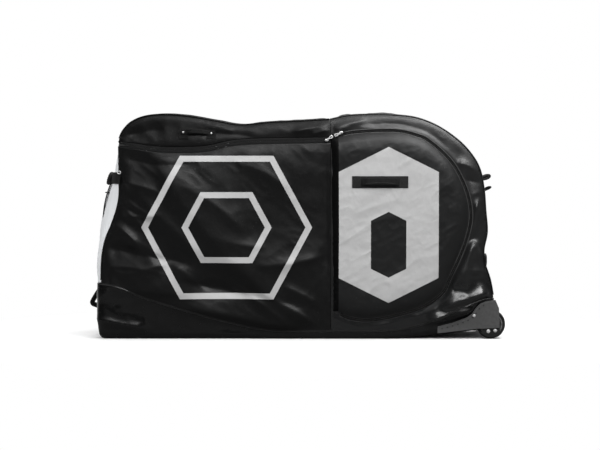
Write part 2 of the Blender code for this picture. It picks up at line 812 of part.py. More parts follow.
def make_tow_loop():
    outer_x = body_left - tow_loop_reach
    low, high = table(tow_loop_shares)[:, 1]
    middle_z = (low + high) / 2
    wall_x = body_left - seat
    tip_z = middle_z - tow_loop_thick
    outline = np.array([(wall_x, high), (outer_x, tip_z),
                        (outer_x + tow_loop_thick, low + tow_loop_thick), (wall_x, low)])
    loop = plate("tow_loop", outline, -tow_loop_width / 2, tow_loop_width / 2, webbing)
    anchors = ((wall_x, near, high), (outer_x, far, tip_z), (outer_x, far, low), (wall_x, near, low))
    hole = []
    for (x, way, z), (share_x, share_z) in zip(anchors, tow_hole_shares):
        hole.append((x + way * share_x * tow_loop_thick, z + share_z * tow_loop_thick))
    hole = np.array(hole)
    cutter = plate("tow_loop_cutter", hole, -tow_loop_width, tow_loop_width, webbing)
    use_boolean(loop, cutter, "DIFFERENCE")


# Straps across the two ends
def end_surface(middle, edge, y, z):
    t = y / band_half
    return middle(z) + (edge(z) - middle(z)) * t * t


def end_grid(middle, edge, outward, lift, y_range, z_range, columns):
    y = np.linspace(y_range[0], y_range[1], columns)[:, None]
    z = np.linspace(z_range[0], z_range[1], 3)[None, :]
    x = end_surface(middle, edge, y, z)
    grid = np.stack([x + 0 * y, y + 0 * z, z + 0 * y], axis=2)
    return grid + grid_normals(grid, (outward, 0, 0)) * lift


def make_end_strap(name, middle, edge, outward, z, web_lift):
    half = web_width / 2
    inner = buckle_socket_length * strap_start_share
    reach = band_half * strap_reach_share
    z_range = (z - half, z + half)
    lift = web_lift + web_thick
    for side, sign in sides:
        grid = end_grid(middle, edge, outward, lift, (sign * inner, sign * reach), z_range, across_steps)
        shell("%s_strap_%s" % (name, side), grid, web_thick, (outward, 0, 0), webbing)
    make_buckle(name, middle, outward, z, lift)


def make_buckle(name, middle, outward, z, lift):
    slope = math.atan2(float(middle(z + web_width / 2) - middle(z - web_width / 2)), web_width)
    base = float(middle(z)) + outward * (lift + buckle_lift)
    socket_start = -(buckle_socket_length + buckle_plug_length) / 2
    socket_stop = socket_start + buckle_socket_length
    plug_stop = socket_stop + seat * 2 + buckle_plug_length
    half = buckle_width / 2
    centre_x = base + outward * buckle_thick / 2

    def body(node, y0, y1, half_height, thick):
        corner = thick * buckle_corner_share
        outline = np.array([(-thick / 2, -half_height), (thick / 2 - corner, -half_height),
                            (thick / 2, -half_height + corner), (thick / 2, half_height - corner),
                            (thick / 2 - corner, half_height), (-thick / 2, half_height)]) * (outward, 1)
        turned = np.stack([outline[:, 0] * math.cos(slope) + outline[:, 1] * math.sin(slope),
                           outline[:, 1] * math.cos(slope) - outline[:, 0] * math.sin(slope)], axis=1)
        return plate(node, turned + (centre_x, z), y0, y1, black_plastic)

    socket = body(name + "_buckle_socket", socket_start, socket_stop, half, buckle_thick)
    pocket = body(name + "_socket_cutter", socket_stop - buckle_tongue_length - buckle_play,
                  socket_stop + buckle_play, buckle_tongue_width / 2 + buckle_play,
                  buckle_tongue_thick + buckle_play * 2)
    use_boolean(socket, pocket, "DIFFERENCE")
    plug = body(name + "_buckle_plug", socket_stop + seat * 2, plug_stop, half, buckle_thick)
    tongue = body(name + "_tongue_guide", socket_stop - buckle_tongue_length + seat,
                  socket_stop + buckle_plug_length / 2, buckle_tongue_width / 2, buckle_tongue_thick)
    use_boolean(plug, tongue, "UNION")


def make_tail_tabs():
    strip_low, strip_high = table(tab_strip_shares)[:, 1]
    z = np.linspace(strip_low, strip_high, tab_steps)
    x = tail_middle(z) + tail_web_lift + tab_lift
    strip_in = np.stack([x, z], axis=1)
    strip_out = np.stack([x + web_thick, z], axis=1)
    outline = np.concatenate([strip_in, strip_out[::-1]])
    strip = plate("tail_tabs", outline, -web_width / 2, web_width / 2, webbing)
    for name, low in (("upper", strip_high - tab_rise * 2), ("lower", strip_low + tab_rise)):
        root_x = float(tail_middle(low)) + tail_web_lift + tab_lift + web_thick / 3
        tip_x = root_x + tab_reach
        outline = np.array([(root_x, low), (tip_x, low + tab_rise),
                            (tip_x - tab_thick / 2, low + tab_rise + tab_thick), (root_x, low + tab_thick)])
        half = web_width / 2 - seat
        tab = plate("tail_%s_tab_guide" % name, outline, -half, half, webbing)
        use_boolean(strip, tab, "UNION")


# Rear corners: guard, wheel, axle, cheek plate and rivets
def make_guard(side, sign):
    centre = (wheel_x, wheel_radius)
    outer = half_depth + seat
    guard = plate(side + "_corner_guard", table(guard_shares), sign * outer, sign * (outer + guard_thick),
                  guard_plastic)
    start, stop = (math.radians(angle) for angle in well_roof_angles)
    radius = wheel_radius + well_room
    roof_inner = round_outline(centre, radius, arc_steps // 2, start, stop, False)
    roof_outer = round_outline(centre, radius + well_wall, arc_steps // 2, stop, start, False)
    roof = plate(side + "_well_roof_guide", np.concatenate([roof_inner, roof_outer]),
                 sign * (well_inner_y - well_wall / 2), sign * (outer + guard_thick / 2), guard_plastic)
    use_boolean(guard, roof, "UNION")
    wall_outline = round_outline(centre, radius + well_wall, arc_steps // 2, stop, start, False)
    wall = plate(side + "_well_wall_guide", wall_outline, sign * (well_inner_y - well_wall),
                 sign * well_inner_y, guard_plastic)
    use_boolean(guard, wall, "UNION")


def make_cheek(side, sign):
    inner = wheel_outer_y + seat * 2 + axle_room
    low = cheek_bottom_room
    high = wheel_radius - cheek_top_room
    radius = wheel_radius - cheek_bottom_room
    angles = np.radians(np.linspace(*cheek_angles, rivet_steps))
    bottom = np.stack([wheel_x + radius * np.cos(angles), wheel_radius + radius * np.sin(angles)], axis=1)
    reach = cheek_half_width * cheek_top_share
    top = np.array([(wheel_x + reach, high), (wheel_x - reach, high)])
    plate(side + "_axle_plate", np.concatenate([bottom, top]), sign * inner, sign * (inner + cheek_thick),
          black_plastic)
    head_start = inner + cheek_thick + seat
    for number, share in enumerate(cheek_rivet_shares, start=1):
        make_rivet("%s_cheek_rivet_%d" % (side, number), place(share), rivet_radius, head_start, sign)


def make_rivet(name, centre, radius, start, sign):
    rings = []
    for share, level in rivet_shares:
        outline = round_outline(centre, radius * share, rivet_steps)
        rings.append(flat_ring(outline, sign * (start + rivet_height * level)))
    loft(name, rings, nickel)


def across_wheel(profile, middle_y, half, sign):
    return [(radius, sign * (middle_y + share * half)) for radius, share in profile]


def make_wheel(side, sign):
    centre = (wheel_x, wheel_radius)
    half = wheel_width / 2
    mid_y = wheel_outer_y - half
    rim = wheel_radius - tyre_thick
    shoulder = wheel_radius - tyre_thick * tyre_shoulder_share
    tread = [(wheel_radius, tyre_crown_share), (wheel_radius, -tyre_crown_share),
             (shoulder, -tyre_edge_share), (rim, -1.0), (rim, 1.0), (shoulder, tyre_edge_share)]
    turned_ring(side + "_tyre", across_wheel(tread, mid_y, half, sign), centre, tyre_rubber)
    bore = axle_radius + axle_room
    face = rim - seat * 2
    web = hub_web / wheel_width
    foot = hub_boss_radius * hub_boss_foot_share
    lip = face * hub_lip_share
    half_profile = [(bore, hub_boss_share), (hub_boss_radius, hub_boss_share), (foot, web),
                    (face * hub_dish_share, web), (lip, hub_rim_share), (face, hub_rim_share)]
    hub = [(radius, -share) for radius, share in half_profile] + half_profile[::-1]
    turned_ring(side + "_wheel_hub", across_wheel(hub, mid_y, half, sign), centre, wheel_grey)
    outline = round_outline(centre, axle_radius, tab_steps)
    plate(side + "_axle", outline, sign * (well_inner_y + seat), sign * (wheel_outer_y + axle_room), nickel)
    start = half_depth + guard_thick + seat * 2
    make_rivet(side + "_guard_rivet", place(guard_rivet_share), guard_rivet_radius, start, sign)


def clear_scene():
    for old in list(bpy.data.objects):
        bpy.data.objects.remove(old, do_unlink=True)


def build():
    clear_scene()
    make_tub()
    make_board()
    make_end_panel()
    make_tail_gusset()
    fold = make_lid()
    make_main_zip(fold)
    for side, sign in sides:
        make_side_panel(side, sign)
        make_surround(side, sign)
        make_pocket_tape(side, sign)
        make_pocket_strip(side, sign)
        make_pocket_door(side, sign)
        make_divider(side, sign)
        make_pocket_zip(side, sign)
        make_guard(side, sign)
        make_cheek(side, sign)
        make_wheel(side, sign)
    make_handles()
    make_tow_loop()
    make_end_strap("end", end_middle, end_edge, -1.0, end_strap_z, end_web_lift)
    make_end_strap("tail", tail_middle, tail_edge, 1.0, tail_strap_z, tail_web_lift)
    make_tail_tabs()


build()
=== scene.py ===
import math

import bmesh
import bpy
import numpy as np
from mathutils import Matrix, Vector


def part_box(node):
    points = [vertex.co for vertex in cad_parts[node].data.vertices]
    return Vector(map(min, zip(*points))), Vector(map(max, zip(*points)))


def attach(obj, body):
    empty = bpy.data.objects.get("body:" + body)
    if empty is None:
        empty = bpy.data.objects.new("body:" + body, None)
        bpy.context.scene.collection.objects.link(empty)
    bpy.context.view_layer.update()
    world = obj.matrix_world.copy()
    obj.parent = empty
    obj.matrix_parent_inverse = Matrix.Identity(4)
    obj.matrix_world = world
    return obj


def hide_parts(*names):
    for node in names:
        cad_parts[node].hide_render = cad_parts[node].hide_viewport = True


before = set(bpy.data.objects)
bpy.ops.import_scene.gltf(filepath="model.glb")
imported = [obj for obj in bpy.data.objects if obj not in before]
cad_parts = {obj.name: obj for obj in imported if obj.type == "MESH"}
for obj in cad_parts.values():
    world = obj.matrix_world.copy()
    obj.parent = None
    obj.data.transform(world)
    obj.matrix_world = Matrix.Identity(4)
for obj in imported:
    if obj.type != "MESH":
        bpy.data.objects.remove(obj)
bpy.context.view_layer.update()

# Looks for the soft bicycle travel bag. X runs towards the wheels, -Y towards the near side, Z up.
scene = bpy.context.scene
gap = 0.0003
near, far = -1.0, 1.0
sides = (("front", near), ("back", far))

# Outlines as shares of the bag's length from its left end and of its height from the floor
lidTopShares = [
    (0.052, 0.877), (0.054, 0.893), (0.063, 0.927), (0.084, 0.965), (0.119, 0.991), (0.169, 1.000),
    (0.231, 0.991), (0.293, 0.972), (0.355, 0.954), (0.429, 0.965), (0.504, 0.971), (0.5805, 0.979)]
domeShares = [
    (0.5805, 0.979), (0.628, 0.996), (0.690, 1.000), (0.752, 0.996), (0.801, 0.982), (0.851, 0.945),
    (0.901, 0.883), (0.935, 0.817), (0.955, 0.751), (0.965, 0.662), (0.969, 0.574), (0.973, 0.477),
    (0.965, 0.397), (0.968, 0.336), (0.981, 0.265), (0.9895, 0.187)]
zipShares = [
    (0.052, 0.862), (0.090, 0.856), (0.124, 0.847), (0.160, 0.841), (0.198, 0.8395), (0.245, 0.841),
    (0.285, 0.850), (0.325, 0.867), (0.370, 0.876), (0.430, 0.879), (0.504, 0.881), (0.5805, 0.883)]
endEdgeShares = [
    (0.006, 0.240), (0.009, 0.362), (0.018, 0.442), (0.036, 0.521), (0.0515, 0.618), (0.053, 0.728),
    (0.052, 0.880)]
endMiddleShares = [
    (0.003, 0.240), (0.000, 0.327), (0.000, 0.464), (0.003, 0.547), (0.016, 0.653), (0.033, 0.744),
    (0.046, 0.852), (0.052, 0.880)]
tubRimShares = [
    (0.000, 0.247), (0.052, 0.234), (0.114, 0.185), (0.206, 0.135), (0.305, 0.084), (0.409, 0.044),
    (0.504, 0.034), (0.600, 0.034), (0.700, 0.036), (0.770, 0.048), (0.840, 0.085), (0.900, 0.135),
    (0.960, 0.175), (1.000, 0.181)]
tubFloorShares = [(0.000, 0.0), (0.727, 0.0), (0.801, 0.009), (0.876, 0.022), (0.940, 0.036), (1.0, 0.036)]
pocketLeftShares = [(0.598, 0.119), (0.598, 0.899)]
pocketArcShares = [
    (0.598, 0.899), (0.633, 0.914), (0.690, 0.921), (0.745, 0.921), (0.790, 0.904), (0.826, 0.874),
    (0.881, 0.781), (0.916, 0.662), (0.928, 0.552), (0.919, 0.455), (0.901, 0.366), (0.876, 0.270)]
pocketFootShares = [
    (0.876, 0.270), (0.859, 0.208), (0.814, 0.148), (0.747, 0.108), (0.677, 0.086), (0.628, 0.095),
    (0.598, 0.119)]
guardTopShares = [
    (0.847, 0.056), (0.885, 0.073), (0.921, 0.097), (0.933, 0.113), (0.942, 0.137), (0.953, 0.158),
    (0.968, 0.168), (0.991, 0.174)]

# The bag's own measures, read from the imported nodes
rightEndShare = 0.9895
bandInset = 0.0142
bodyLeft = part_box("tub_skin")[0].x - gap
bodyLength = (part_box("tub_skin")[1].x - bodyLeft) / rightEndShare
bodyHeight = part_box("tail_gusset")[1].z
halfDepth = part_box("tub_skin")[1].y
bandHalf = halfDepth - bandInset
zipTapeWidth = 0.008


# Paths and grids
def place(shares):
    return np.array(shares, float) * (bodyLength, bodyHeight) + (bodyLeft, 0.0)


def pathLength(path):
    return np.linalg.norm(np.diff(path, axis=0), axis=1).sum()


def runAlong(path):
    # how far along a path each of its points lies
    return np.r_[0.0, np.cumsum(np.linalg.norm(np.diff(path, axis=0), axis=1))]


def evenPath(points, count):
    # the same path at equal steps of its length
    run = runAlong(points)
    stops = np.linspace(0.0, run[-1], count)
    return np.stack([np.interp(stops, run, column) for column in points.T], axis=1)


def smoothPath(points, count, fine=16):
    # Catmull-Rom: each span is the cubic through its two ends whose slopes are the chords of their neighbours
    ends = np.vstack([2 * points[0] - points[1], points, 2 * points[-1] - points[-2]])
    t = (np.arange(fine) / fine)[None, :, None]
    a, b, c, d = (ends[k:len(ends) - 3 + k, None, :] for k in range(4))
    curve = 2 * b + (c - a) * t + (2 * a - 5 * b + 4 * c - d) * t ** 2 + (3 * b - a - 3 * c + d) * t ** 3
    return evenPath(np.vstack([0.5 * curve.reshape(-1, points.shape[1]), points[-1:]]), count)


def unit(vectors):
    return vectors / np.maximum(np.linalg.norm(vectors, axis=-1, keepdims=True), 1e-9)


def headings(path, closed=False):
    # direction of travel at each point of a path
    if closed:
        return unit(np.roll(path, -1, axis=0) - np.roll(path, 1, axis=0))
    return unit(np.gradient(path, axis=0))


def sideStep(path, amount):
    # moves an outline to the right of its direction of travel
    along = headings(path)
    return path + np.stack([along[:, 1], -along[:, 0]], axis=1) * np.reshape(amount, (-1, 1))


def lookUp(points, axis=0):
    # the other coordinate of a path as a function of one of its coordinates
    order = np.argsort(points[:, axis])
    return lambda value: np.interp(value, points[order, axis], points[order, 1 - axis])


def upright(flat, y):
    # a path or a grid in X and Z set at that y
    return np.stack([flat[..., 0], np.broadcast_to(y, flat.shape[:-1]), flat[..., 1]], axis=-1)


def easeIn(value, low, high):
    # 0 before low, 1 after high, and 3t^2 - 2t^3 between
    t = np.clip((value - low) / (high - low), 0.0, 1.0)
    return t * t * (3.0 - 2.0 * t)


def hump(t, ramp):
    # 0 at both ends of t from 0 to 1, and 1 between, over ramps of that share
    return easeIn(t, 0.0, ramp) * easeIn(-t, -1.0, ramp - 1.0)


def curveDistance(points, curve):
    # shortest way from each point to a curve's points, in blocks so that it fits in memory
    flat = points.reshape(-1, 2)
    best = np.empty(len(flat))
    for start in range(0, len(flat), 8192):
        block = flat[start:start + 8192, None] - curve[None]
        best[start:start + 8192] = np.sqrt((block ** 2).sum(axis=2).min(axis=1))
    return best.reshape(points.shape[:-1])


def faceOut(grid, outward):
    # unit normals of a grid, turned to the side that outward points to
    normal = unit(np.cross(np.gradient(grid, axis=0), np.gradient(grid, axis=1)))
    return normal * np.sign((normal * outward).sum(axis=2).mean())


def softNoise(x, z, step, seed):
    # random heights on a lattice of that step, blended with 3t^2 - 2t^3, from -1 to 1
    lattice = np.random.default_rng(seed).uniform(-1.0, 1.0, (64, 64))
    i, j = np.floor(x / step).astype(int), np.floor(z / step).astype(int)
    s, t = easeIn(x / step - i, 0.0, 1.0), easeIn(z / step - j, 0.0, 1.0)
    low = lattice[i % 64, j % 64] * (1 - s) + lattice[(i + 1) % 64, j % 64] * s
    high = lattice[i % 64, (j + 1) % 64] * (1 - s) + lattice[(i + 1) % 64, (j + 1) % 64] * s
    return low * (1 - t) + high * t


def crumple(x, z, step, seed, slant=0.0, stretch=1.0):
    # creased cloth: 1 - 2|noise| peaks along wandering lines, here at three scales and along a slant
    a = x * math.cos(slant) + z * math.sin(slant)
    b = (z * math.cos(slant) - x * math.sin(slant)) * stretch
    total = 0.0
    for octave, share in enumerate((0.55, 0.28, 0.17)):
        scale = step / 1.9 ** octave
        bend = 0.4 * scale * softNoise(a, b, scale * 1.7, seed + 50 + octave)
        total = total + share * (1.0 - 2.0 * np.abs(softNoise(a + bend, b - bend, scale, seed + octave)))
    return total


def foldHeights(x, z, folds):
    # each fold runs from one place to another: height * exp(-distance / width), rounded at its crest,
    # bent sideways by bow * 4t(1 - t), steeper on its left by lean, and faded out at both ends
    total = np.zeros(np.broadcast(x, z).shape)
    for x0, z0, x1, z1, width, height, bow, lean in folds:
        dx, dz = x1 - x0, z1 - z0
        span = math.hypot(dx, dz)
        t = ((x - x0) * dx + (z - z0) * dz) / span ** 2
        middle = np.clip(t, 0, 1)
        off = ((x - x0) * -dz + (z - z0) * dx) / span - bow * 4 * middle * (1 - middle)
        off = off * np.where(off > 0, 1.0 + lean, 1.0 - lean)
        beyond = np.maximum(0.0, np.abs(t - 0.5) - 0.5) * span
        fade = easeIn(t, -0.05, 0.25) * easeIn(-t, -1.05, -0.75)
        total += height * fade * np.exp(-np.sqrt(off ** 2 + beyond ** 2 + (0.22 * width) ** 2) / width + 0.22)
    return total


# Meshes
def addMesh(name, points, faces, look, uv=None):
    mesh = bpy.data.meshes.new(name)
    mesh.vertices.add(len(points))
    mesh.vertices.foreach_set("co", np.asarray(points, float).ravel())
    mesh.loops.add(faces.size)
    mesh.loops.foreach_set("vertex_index", faces.ravel().astype(np.int32))
    mesh.polygons.add(len(faces))
    mesh.polygons.foreach_set("loop_start", np.arange(0, faces.size, 4, dtype=np.int32))
    mesh.polygons.foreach_set("use_smooth", np.ones(len(faces), bool))
    mesh.update(calc_edges=True)
    if uv is not None:
        mesh.uv_layers.new(name="Run").data.foreach_set("uv", np.asarray(uv, float).ravel())
    mesh.materials.append(looks[look])
    piece = bpy.data.objects.new(name, mesh)
    scene.collection.objects.link(piece)
    return piece


def mendMesh(piece, merge=0.0, close=False, turn=True, flatten=0.0):
    # merges doubles, closes holes, joins faces that lie flat together and turns the normals outwards
    mesh = bmesh.new()
    mesh.from_mesh(piece.data)
    if merge:
        bmesh.ops.remove_doubles(mesh, verts=mesh.verts, dist=merge)
    if close:
        bmesh.ops.holes_fill(mesh, edges=mesh.edges, sides=0)
    if turn:
        bmesh.ops.recalc_face_normals(mesh, faces=mesh.faces)
    if flatten:
        bmesh.ops.dissolve_limit(mesh, angle_limit=math.radians(flatten), verts=mesh.verts, edges=mesh.edges)
    mesh.to_mesh(piece.data)
    mesh.free()
    return piece


def creaseEdges(piece, angle):
    # smooth all over, but sharp where two faces meet at more than that angle
    piece.data.polygons.foreach_set("use_smooth", np.ones(len(piece.data.polygons), bool))
    piece.data.set_sharp_from_angle(angle=math.radians(angle))
    piece.data.update()
    return piece


def gridFaces(rows, columns, closedU, closedV):
    # cell (i, j) has the corners (i, j), (i + 1, j), (i + 1, j + 1), (i, j + 1), numbered row by row
    i = np.arange(rows if closedU else rows - 1)
    j = np.arange(columns if closedV else columns - 1)
    i, j = (k.ravel() for k in np.meshgrid(i, j, indexing="ij"))
    cornersI = np.stack([i, i + 1, i + 1, i], axis=1)
    cornersJ = np.stack([j, j, j + 1, j + 1], axis=1)
    return cornersI % rows * columns + cornersJ % columns, cornersI, cornersJ


def surface(name, grid, look, outward=None, closedU=False, closedV=False, weld=False):
    # quads over a grid of points; without outward, faces point away from the middle of each row
    rows, columns = grid.shape[:2]
    faces, cornersI, cornersJ = gridFaces(rows, columns, closedU, closedV)
    points = grid.reshape(-1, 3)
    quad = points[faces]
    normal = np.cross(quad[:, 2] - quad[:, 0], quad[:, 3] - quad[:, 1])
    if outward is None:
        outward = quad.mean(axis=1) - grid.mean(axis=1)[cornersI[:, 0] % rows]
    if (normal * outward).sum() < 0:
        faces, cornersI, cornersJ = faces[:, ::-1], cornersI[:, ::-1], cornersJ[:, ::-1]
    stepU = np.linalg.norm(np.diff(grid, axis=0, append=grid[:1]), axis=2).mean(axis=1)
    stepV = np.linalg.norm(np.diff(grid, axis=1, append=grid[:, :1]), axis=2).mean(axis=0)
    runU, runV = np.r_[0.0, np.cumsum(stepU)], np.r_[0.0, np.cumsum(stepV)]
    piece = addMesh(name, points, faces, look, np.stack([runU[cornersI], runV[cornersJ]], axis=2))
    return mendMesh(piece, 1e-5, turn=False) if weld else piece


def sweep(name, path, outward, profile, look, closed=False, sharp=50):
    # a profile of (sideways, outward) points carried along a path; open ends are closed by a flat face
    along = headings(path, closed)
    up = unit(np.broadcast_to(np.asarray(outward, float), path.shape) + 0.0)
    across = unit(np.cross(along, up))
    up = np.cross(across, along)
    profile = np.broadcast_to(np.asarray(profile, float), (len(path), *np.shape(profile)[-2:]))
    grid = path[:, None] + across[:, None] * profile[:, :, :1] + up[:, None] * profile[:, :, 1:]
    piece = surface(name, grid, look, closedU=closed, closedV=True)
    return piece if closed else creaseEdges(mendMesh(piece, close=True), sharp)


def circle(radius, count=10):
    angles = np.arange(count) * 2 * math.pi / count
    return np.stack([radius * np.cos(angles), radius * np.sin(angles)], axis=1)


def strapProfile(width, thick):
    # a flat band with rounded edges
    half, edge = width / 2, thick / 2
    side = np.linspace(-0.5 * math.pi, 0.5 * math.pi, 5)
    right = np.stack([half - edge + edge * np.cos(side), edge * np.sin(side)], axis=1)
    inner = np.linspace(half - edge, edge - half, 8)[1:-1]
    top = np.stack([inner, np.full(6, edge)], axis=1)
    return np.concatenate([right, top, right[::-1] * (-1, 1), top * (-1, -1)])


def lathe(name, profile, centre, look, count=64, sharp=35):
    # a profile of (radius, y) turned about the line through centre along Y
    profile = np.asarray(profile, float)
    angles = np.arange(count) * 2 * math.pi / count
    x = centre[0] + profile[:, :1] * np.cos(angles)
    z = centre[1] + profile[:, :1] * np.sin(angles)
    piece = surface(name, np.stack([x, profile[:, 1:] + 0 * x, z], axis=2), look, closedV=True)
    return creaseEdges(mendMesh(piece, 1e-5, close=True), sharp)


def pillow(name, path, across, up, widths, heights, look, count=16):
    # rounded cross-sections (superellipse, power 3) along a short path, closed at both ends by a pole
    angles = np.arange(count) * 2 * math.pi / count
    cos = np.sign(np.cos(angles)) * np.abs(np.cos(angles)) ** 0.66
    sin = np.sign(np.sin(angles)) * np.abs(np.sin(angles)) ** 0.66
    grid = path[:, None] + across * (np.reshape(widths, (-1, 1, 1)) * cos[None, :, None])
    grid = grid + up * (np.reshape(heights, (-1, 1, 1)) * sin[None, :, None])
    return mendMesh(surface(name, grid, look, closedV=True), 1e-5)


def copies(one, count, size):
    # the faces of one small shape, repeated for count copies of size points each
    return (one[None] + (np.arange(count) * size)[:, None, None]).reshape(-1, 4)


def alongFrame(path, outward, count):
    # even places along a path, with the directions along, across and out of it, ready for shapes of points
    outward = np.broadcast_to(np.asarray(outward, float), path.shape)
    route = evenPath(np.hstack([path, outward]), count)
    middle, up = route[:, :3], unit(route[:, 3:])
    along = headings(middle)
    return middle, along, unit(np.cross(along, up)), up


stitch = {"length": 0.0034, "pause": 0.0016, "radius": 0.00042, "taper": 0.35, "lift": 0.4,
          "short": (0.0026, 0.0012)}


def stitchRow(name, path, outward, length=stitch["length"], pause=stitch["pause"], radius=stitch["radius"]):
    # short threads laid along a path: three rings of four points each, thick in the middle
    count = max(2, int(pathLength(path) / (length + pause)))
    middle, along, across, up = (part[:, None, None] for part in alongFrame(path, outward, count))
    shift = np.array([-0.5, 0.0, 0.5])[None, :, None, None] * length
    size = np.array([stitch["taper"], 1.0, stitch["taper"]])[None, :, None, None] * radius
    angles = (np.arange(4) * math.pi / 2)[None, None, :, None]
    points = middle + along * shift + across * size * np.cos(angles)
    points = points + up * size * (np.sin(angles) + stitch["lift"])
    one = np.concatenate([gridFaces(3, 4, False, True)[0], [[0, 1, 2, 3]], [[11, 10, 9, 8]]])
    return mendMesh(addMesh(name, points.reshape(-1, 3), copies(one, count, 12), "thread"))


def toothRow(name, path, outward, pitch, size):
    # small blocks, narrower at the top, set alternately left and right of a path
    count = int(pathLength(path) / pitch)
    middle, along, across, up = (part[:, None] for part in alongFrame(path, outward, count))
    side = np.where(np.arange(count) % 2, 1.0, -1.0)[:, None, None]
    corner = np.array([(a, b, c) for c in (-1, 1) for a, b in ((-1, -1), (1, -1), (1, 1), (-1, 1))], float)
    a, b, c = (corner[:, k][None, :, None] * size[k] / 2 for k in range(3))
    narrow = np.where(corner[:, 2] > 0, 0.6, 1.0)[None, :, None]
    points = middle + along * a * narrow + up * c + across * (b * narrow + side * size[1] * 0.28)
    box = np.array([(0, 3, 2, 1), (4, 5, 6, 7), (0, 1, 5, 4), (1, 2, 6, 5), (2, 3, 7, 6), (3, 0, 4, 7)])
    piece = mendMesh(addMesh(name, points.reshape(-1, 3), copies(box, count, 8), "coil"))
    return creaseEdges(piece, 20)


def addWall(piece, wall, lining="liningCloth"):
    # gives a surface its thickness, inwards, with lining on the inner face
    thicken = piece.modifiers.new("Wall", "SOLIDIFY")
    thicken.thickness, thicken.offset = wall, -1.0
    if lining:
        piece.data.materials.append(looks[lining])
        thicken.material_offset = 1
    return piece


def keepResult(piece):
    # makes the modifiers' result the piece's own mesh
    solid = bpy.data.meshes.new_from_object(piece.evaluated_get(bpy.context.evaluated_depsgraph_get()))
    piece.modifiers.clear()
    piece.data = solid
    return solid


def carve(piece, cutter):
    # cuts a shape out of a piece
    piece.modifiers.new("Cut", "BOOLEAN").object = cutter
    keepResult(piece)
    bpy.data.objects.remove(cutter, do_unlink=True)


def boxOf(node):
    # a node's low and high corner, and its middle
    low, high = (np.array(corner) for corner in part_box(node))
    return low, high, (low + high) / 2


def dress(piece, body, slot, *nodes):
    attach(piece, body)
    if nodes:
        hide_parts(*nodes)
    return piece


# Shader groups and materials. A node's tree is read from the sockets that feed it.
def feed(socket, value):
    if isinstance(value, bpy.types.NodeSocket):
        socket.id_data.links.new(value, socket)
    elif value is not None:
        socket.default_value = value


def plug(node, **values):
    for label, value in values.items():
        feed(node.inputs[label.replace("_", " ")], value)


def newNode(kind, values, **settings):
    # a node fed in the order of its sockets, with the tree of whichever value comes from another node
    tree = next(value.id_data for value in values if isinstance(value, bpy.types.NodeSocket))
    node = tree.nodes.new(kind)
    for label, setting in settings.items():
        setattr(node, label, setting)
    for socket, value in zip(node.inputs, values):
        feed(socket, value)
    return node


def calc(operation, *values, clamp=False):
    return newNode("ShaderNodeMath", values, operation=operation, use_clamp=clamp).outputs[0]


def spread(value, low, high, toLow=0.0, toHigh=1.0):
    values = (value, low, high, toLow, toHigh)
    return newNode("ShaderNodeMapRange", values, interpolation_type="SMOOTHSTEP").outputs[0]


def noise(vector, scale, detail=4.0, rough=0.55, stretch=None):
    if stretch is not None:
        mapping = newNode("ShaderNodeMapping", (vector,))
        plug(mapping, Scale=stretch)
        vector = mapping.outputs[0]
    node = newNode("ShaderNodeTexNoise", (vector,))
    plug(node, Scale=scale, Detail=detail, Roughness=rough)
    return node.outputs[0]


def split(vector):
    return newNode("ShaderNodeSeparateXYZ", (vector,)).outputs


def mixValue(share, first, second):
    return newNode("ShaderNodeMix", (share, None, first, second)).outputs[0]


def mixColour(share, first, second):
    return newNode("ShaderNodeMix", (share, *[None] * 5, first, second), data_type="RGBA").outputs[2]


def tinted(tone, value):
    # a written grey made lighter or darker by a value that changes over the surface
    return newNode("ShaderNodeVectorMath", (tone, None, None, value), operation="SCALE").outputs[0]


def bump(height, distance, below=None):
    return newNode("ShaderNodeBump", (1.0, distance, None, height, below)).outputs[0]


def newGroup(name, outputs, **inputs):
    tree = bpy.data.node_groups.new(name, "ShaderNodeTree")
    tree.interface.new_socket(name="Vector", in_out="INPUT", socket_type="NodeSocketVector")
    for label, value in inputs.items():
        label = label.replace("_", " ")
        socket = tree.interface.new_socket(name=label, in_out="INPUT", socket_type="NodeSocketFloat")
        socket.default_value = value
    for label in outputs:
        tree.interface.new_socket(name=label, in_out="OUTPUT", socket_type="NodeSocketFloat")
    return tree, tree.nodes.new("NodeGroupInput").outputs, tree.nodes.new("NodeGroupOutput")


def weaveGroup():
    # plain weave: sin(u) * sin(v) over threads at an even pitch, with Y and Z sharing one direction
    tree, given, result = newGroup("Weave", ["Height"], Pitch=0.001)
    x, y, z = split(given["Vector"])
    turns = calc("DIVIDE", math.pi, given["Pitch"])
    warp = calc("SINE", calc("MULTIPLY", x, turns))
    weft = calc("SINE", calc("MULTIPLY", calc("ADD", y, z), turns))
    plug(result, Height=calc("MULTIPLY_ADD", calc("MULTIPLY", warp, weft), 0.5, 0.5))
    return tree


def ribsGroup():
    # webbing: ribs across the run, broken by a finer twill along it
    tree, given, result = newGroup("Ribs", ["Height"], Pitch=0.002)
    u, v, _ = split(given["Vector"])
    turns = calc("DIVIDE", math.pi, given["Pitch"])
    rib = calc("ABSOLUTE", calc("SINE", calc("MULTIPLY", v, turns)))
    slant = calc("ADD", u, calc("MULTIPLY", v, 0.5))
    twill = calc("SINE", calc("MULTIPLY", slant, calc("MULTIPLY", turns, 1.6)))
    plug(result, Height=calc("MULTIPLY_ADD", twill, 0.22, rib))
    return tree


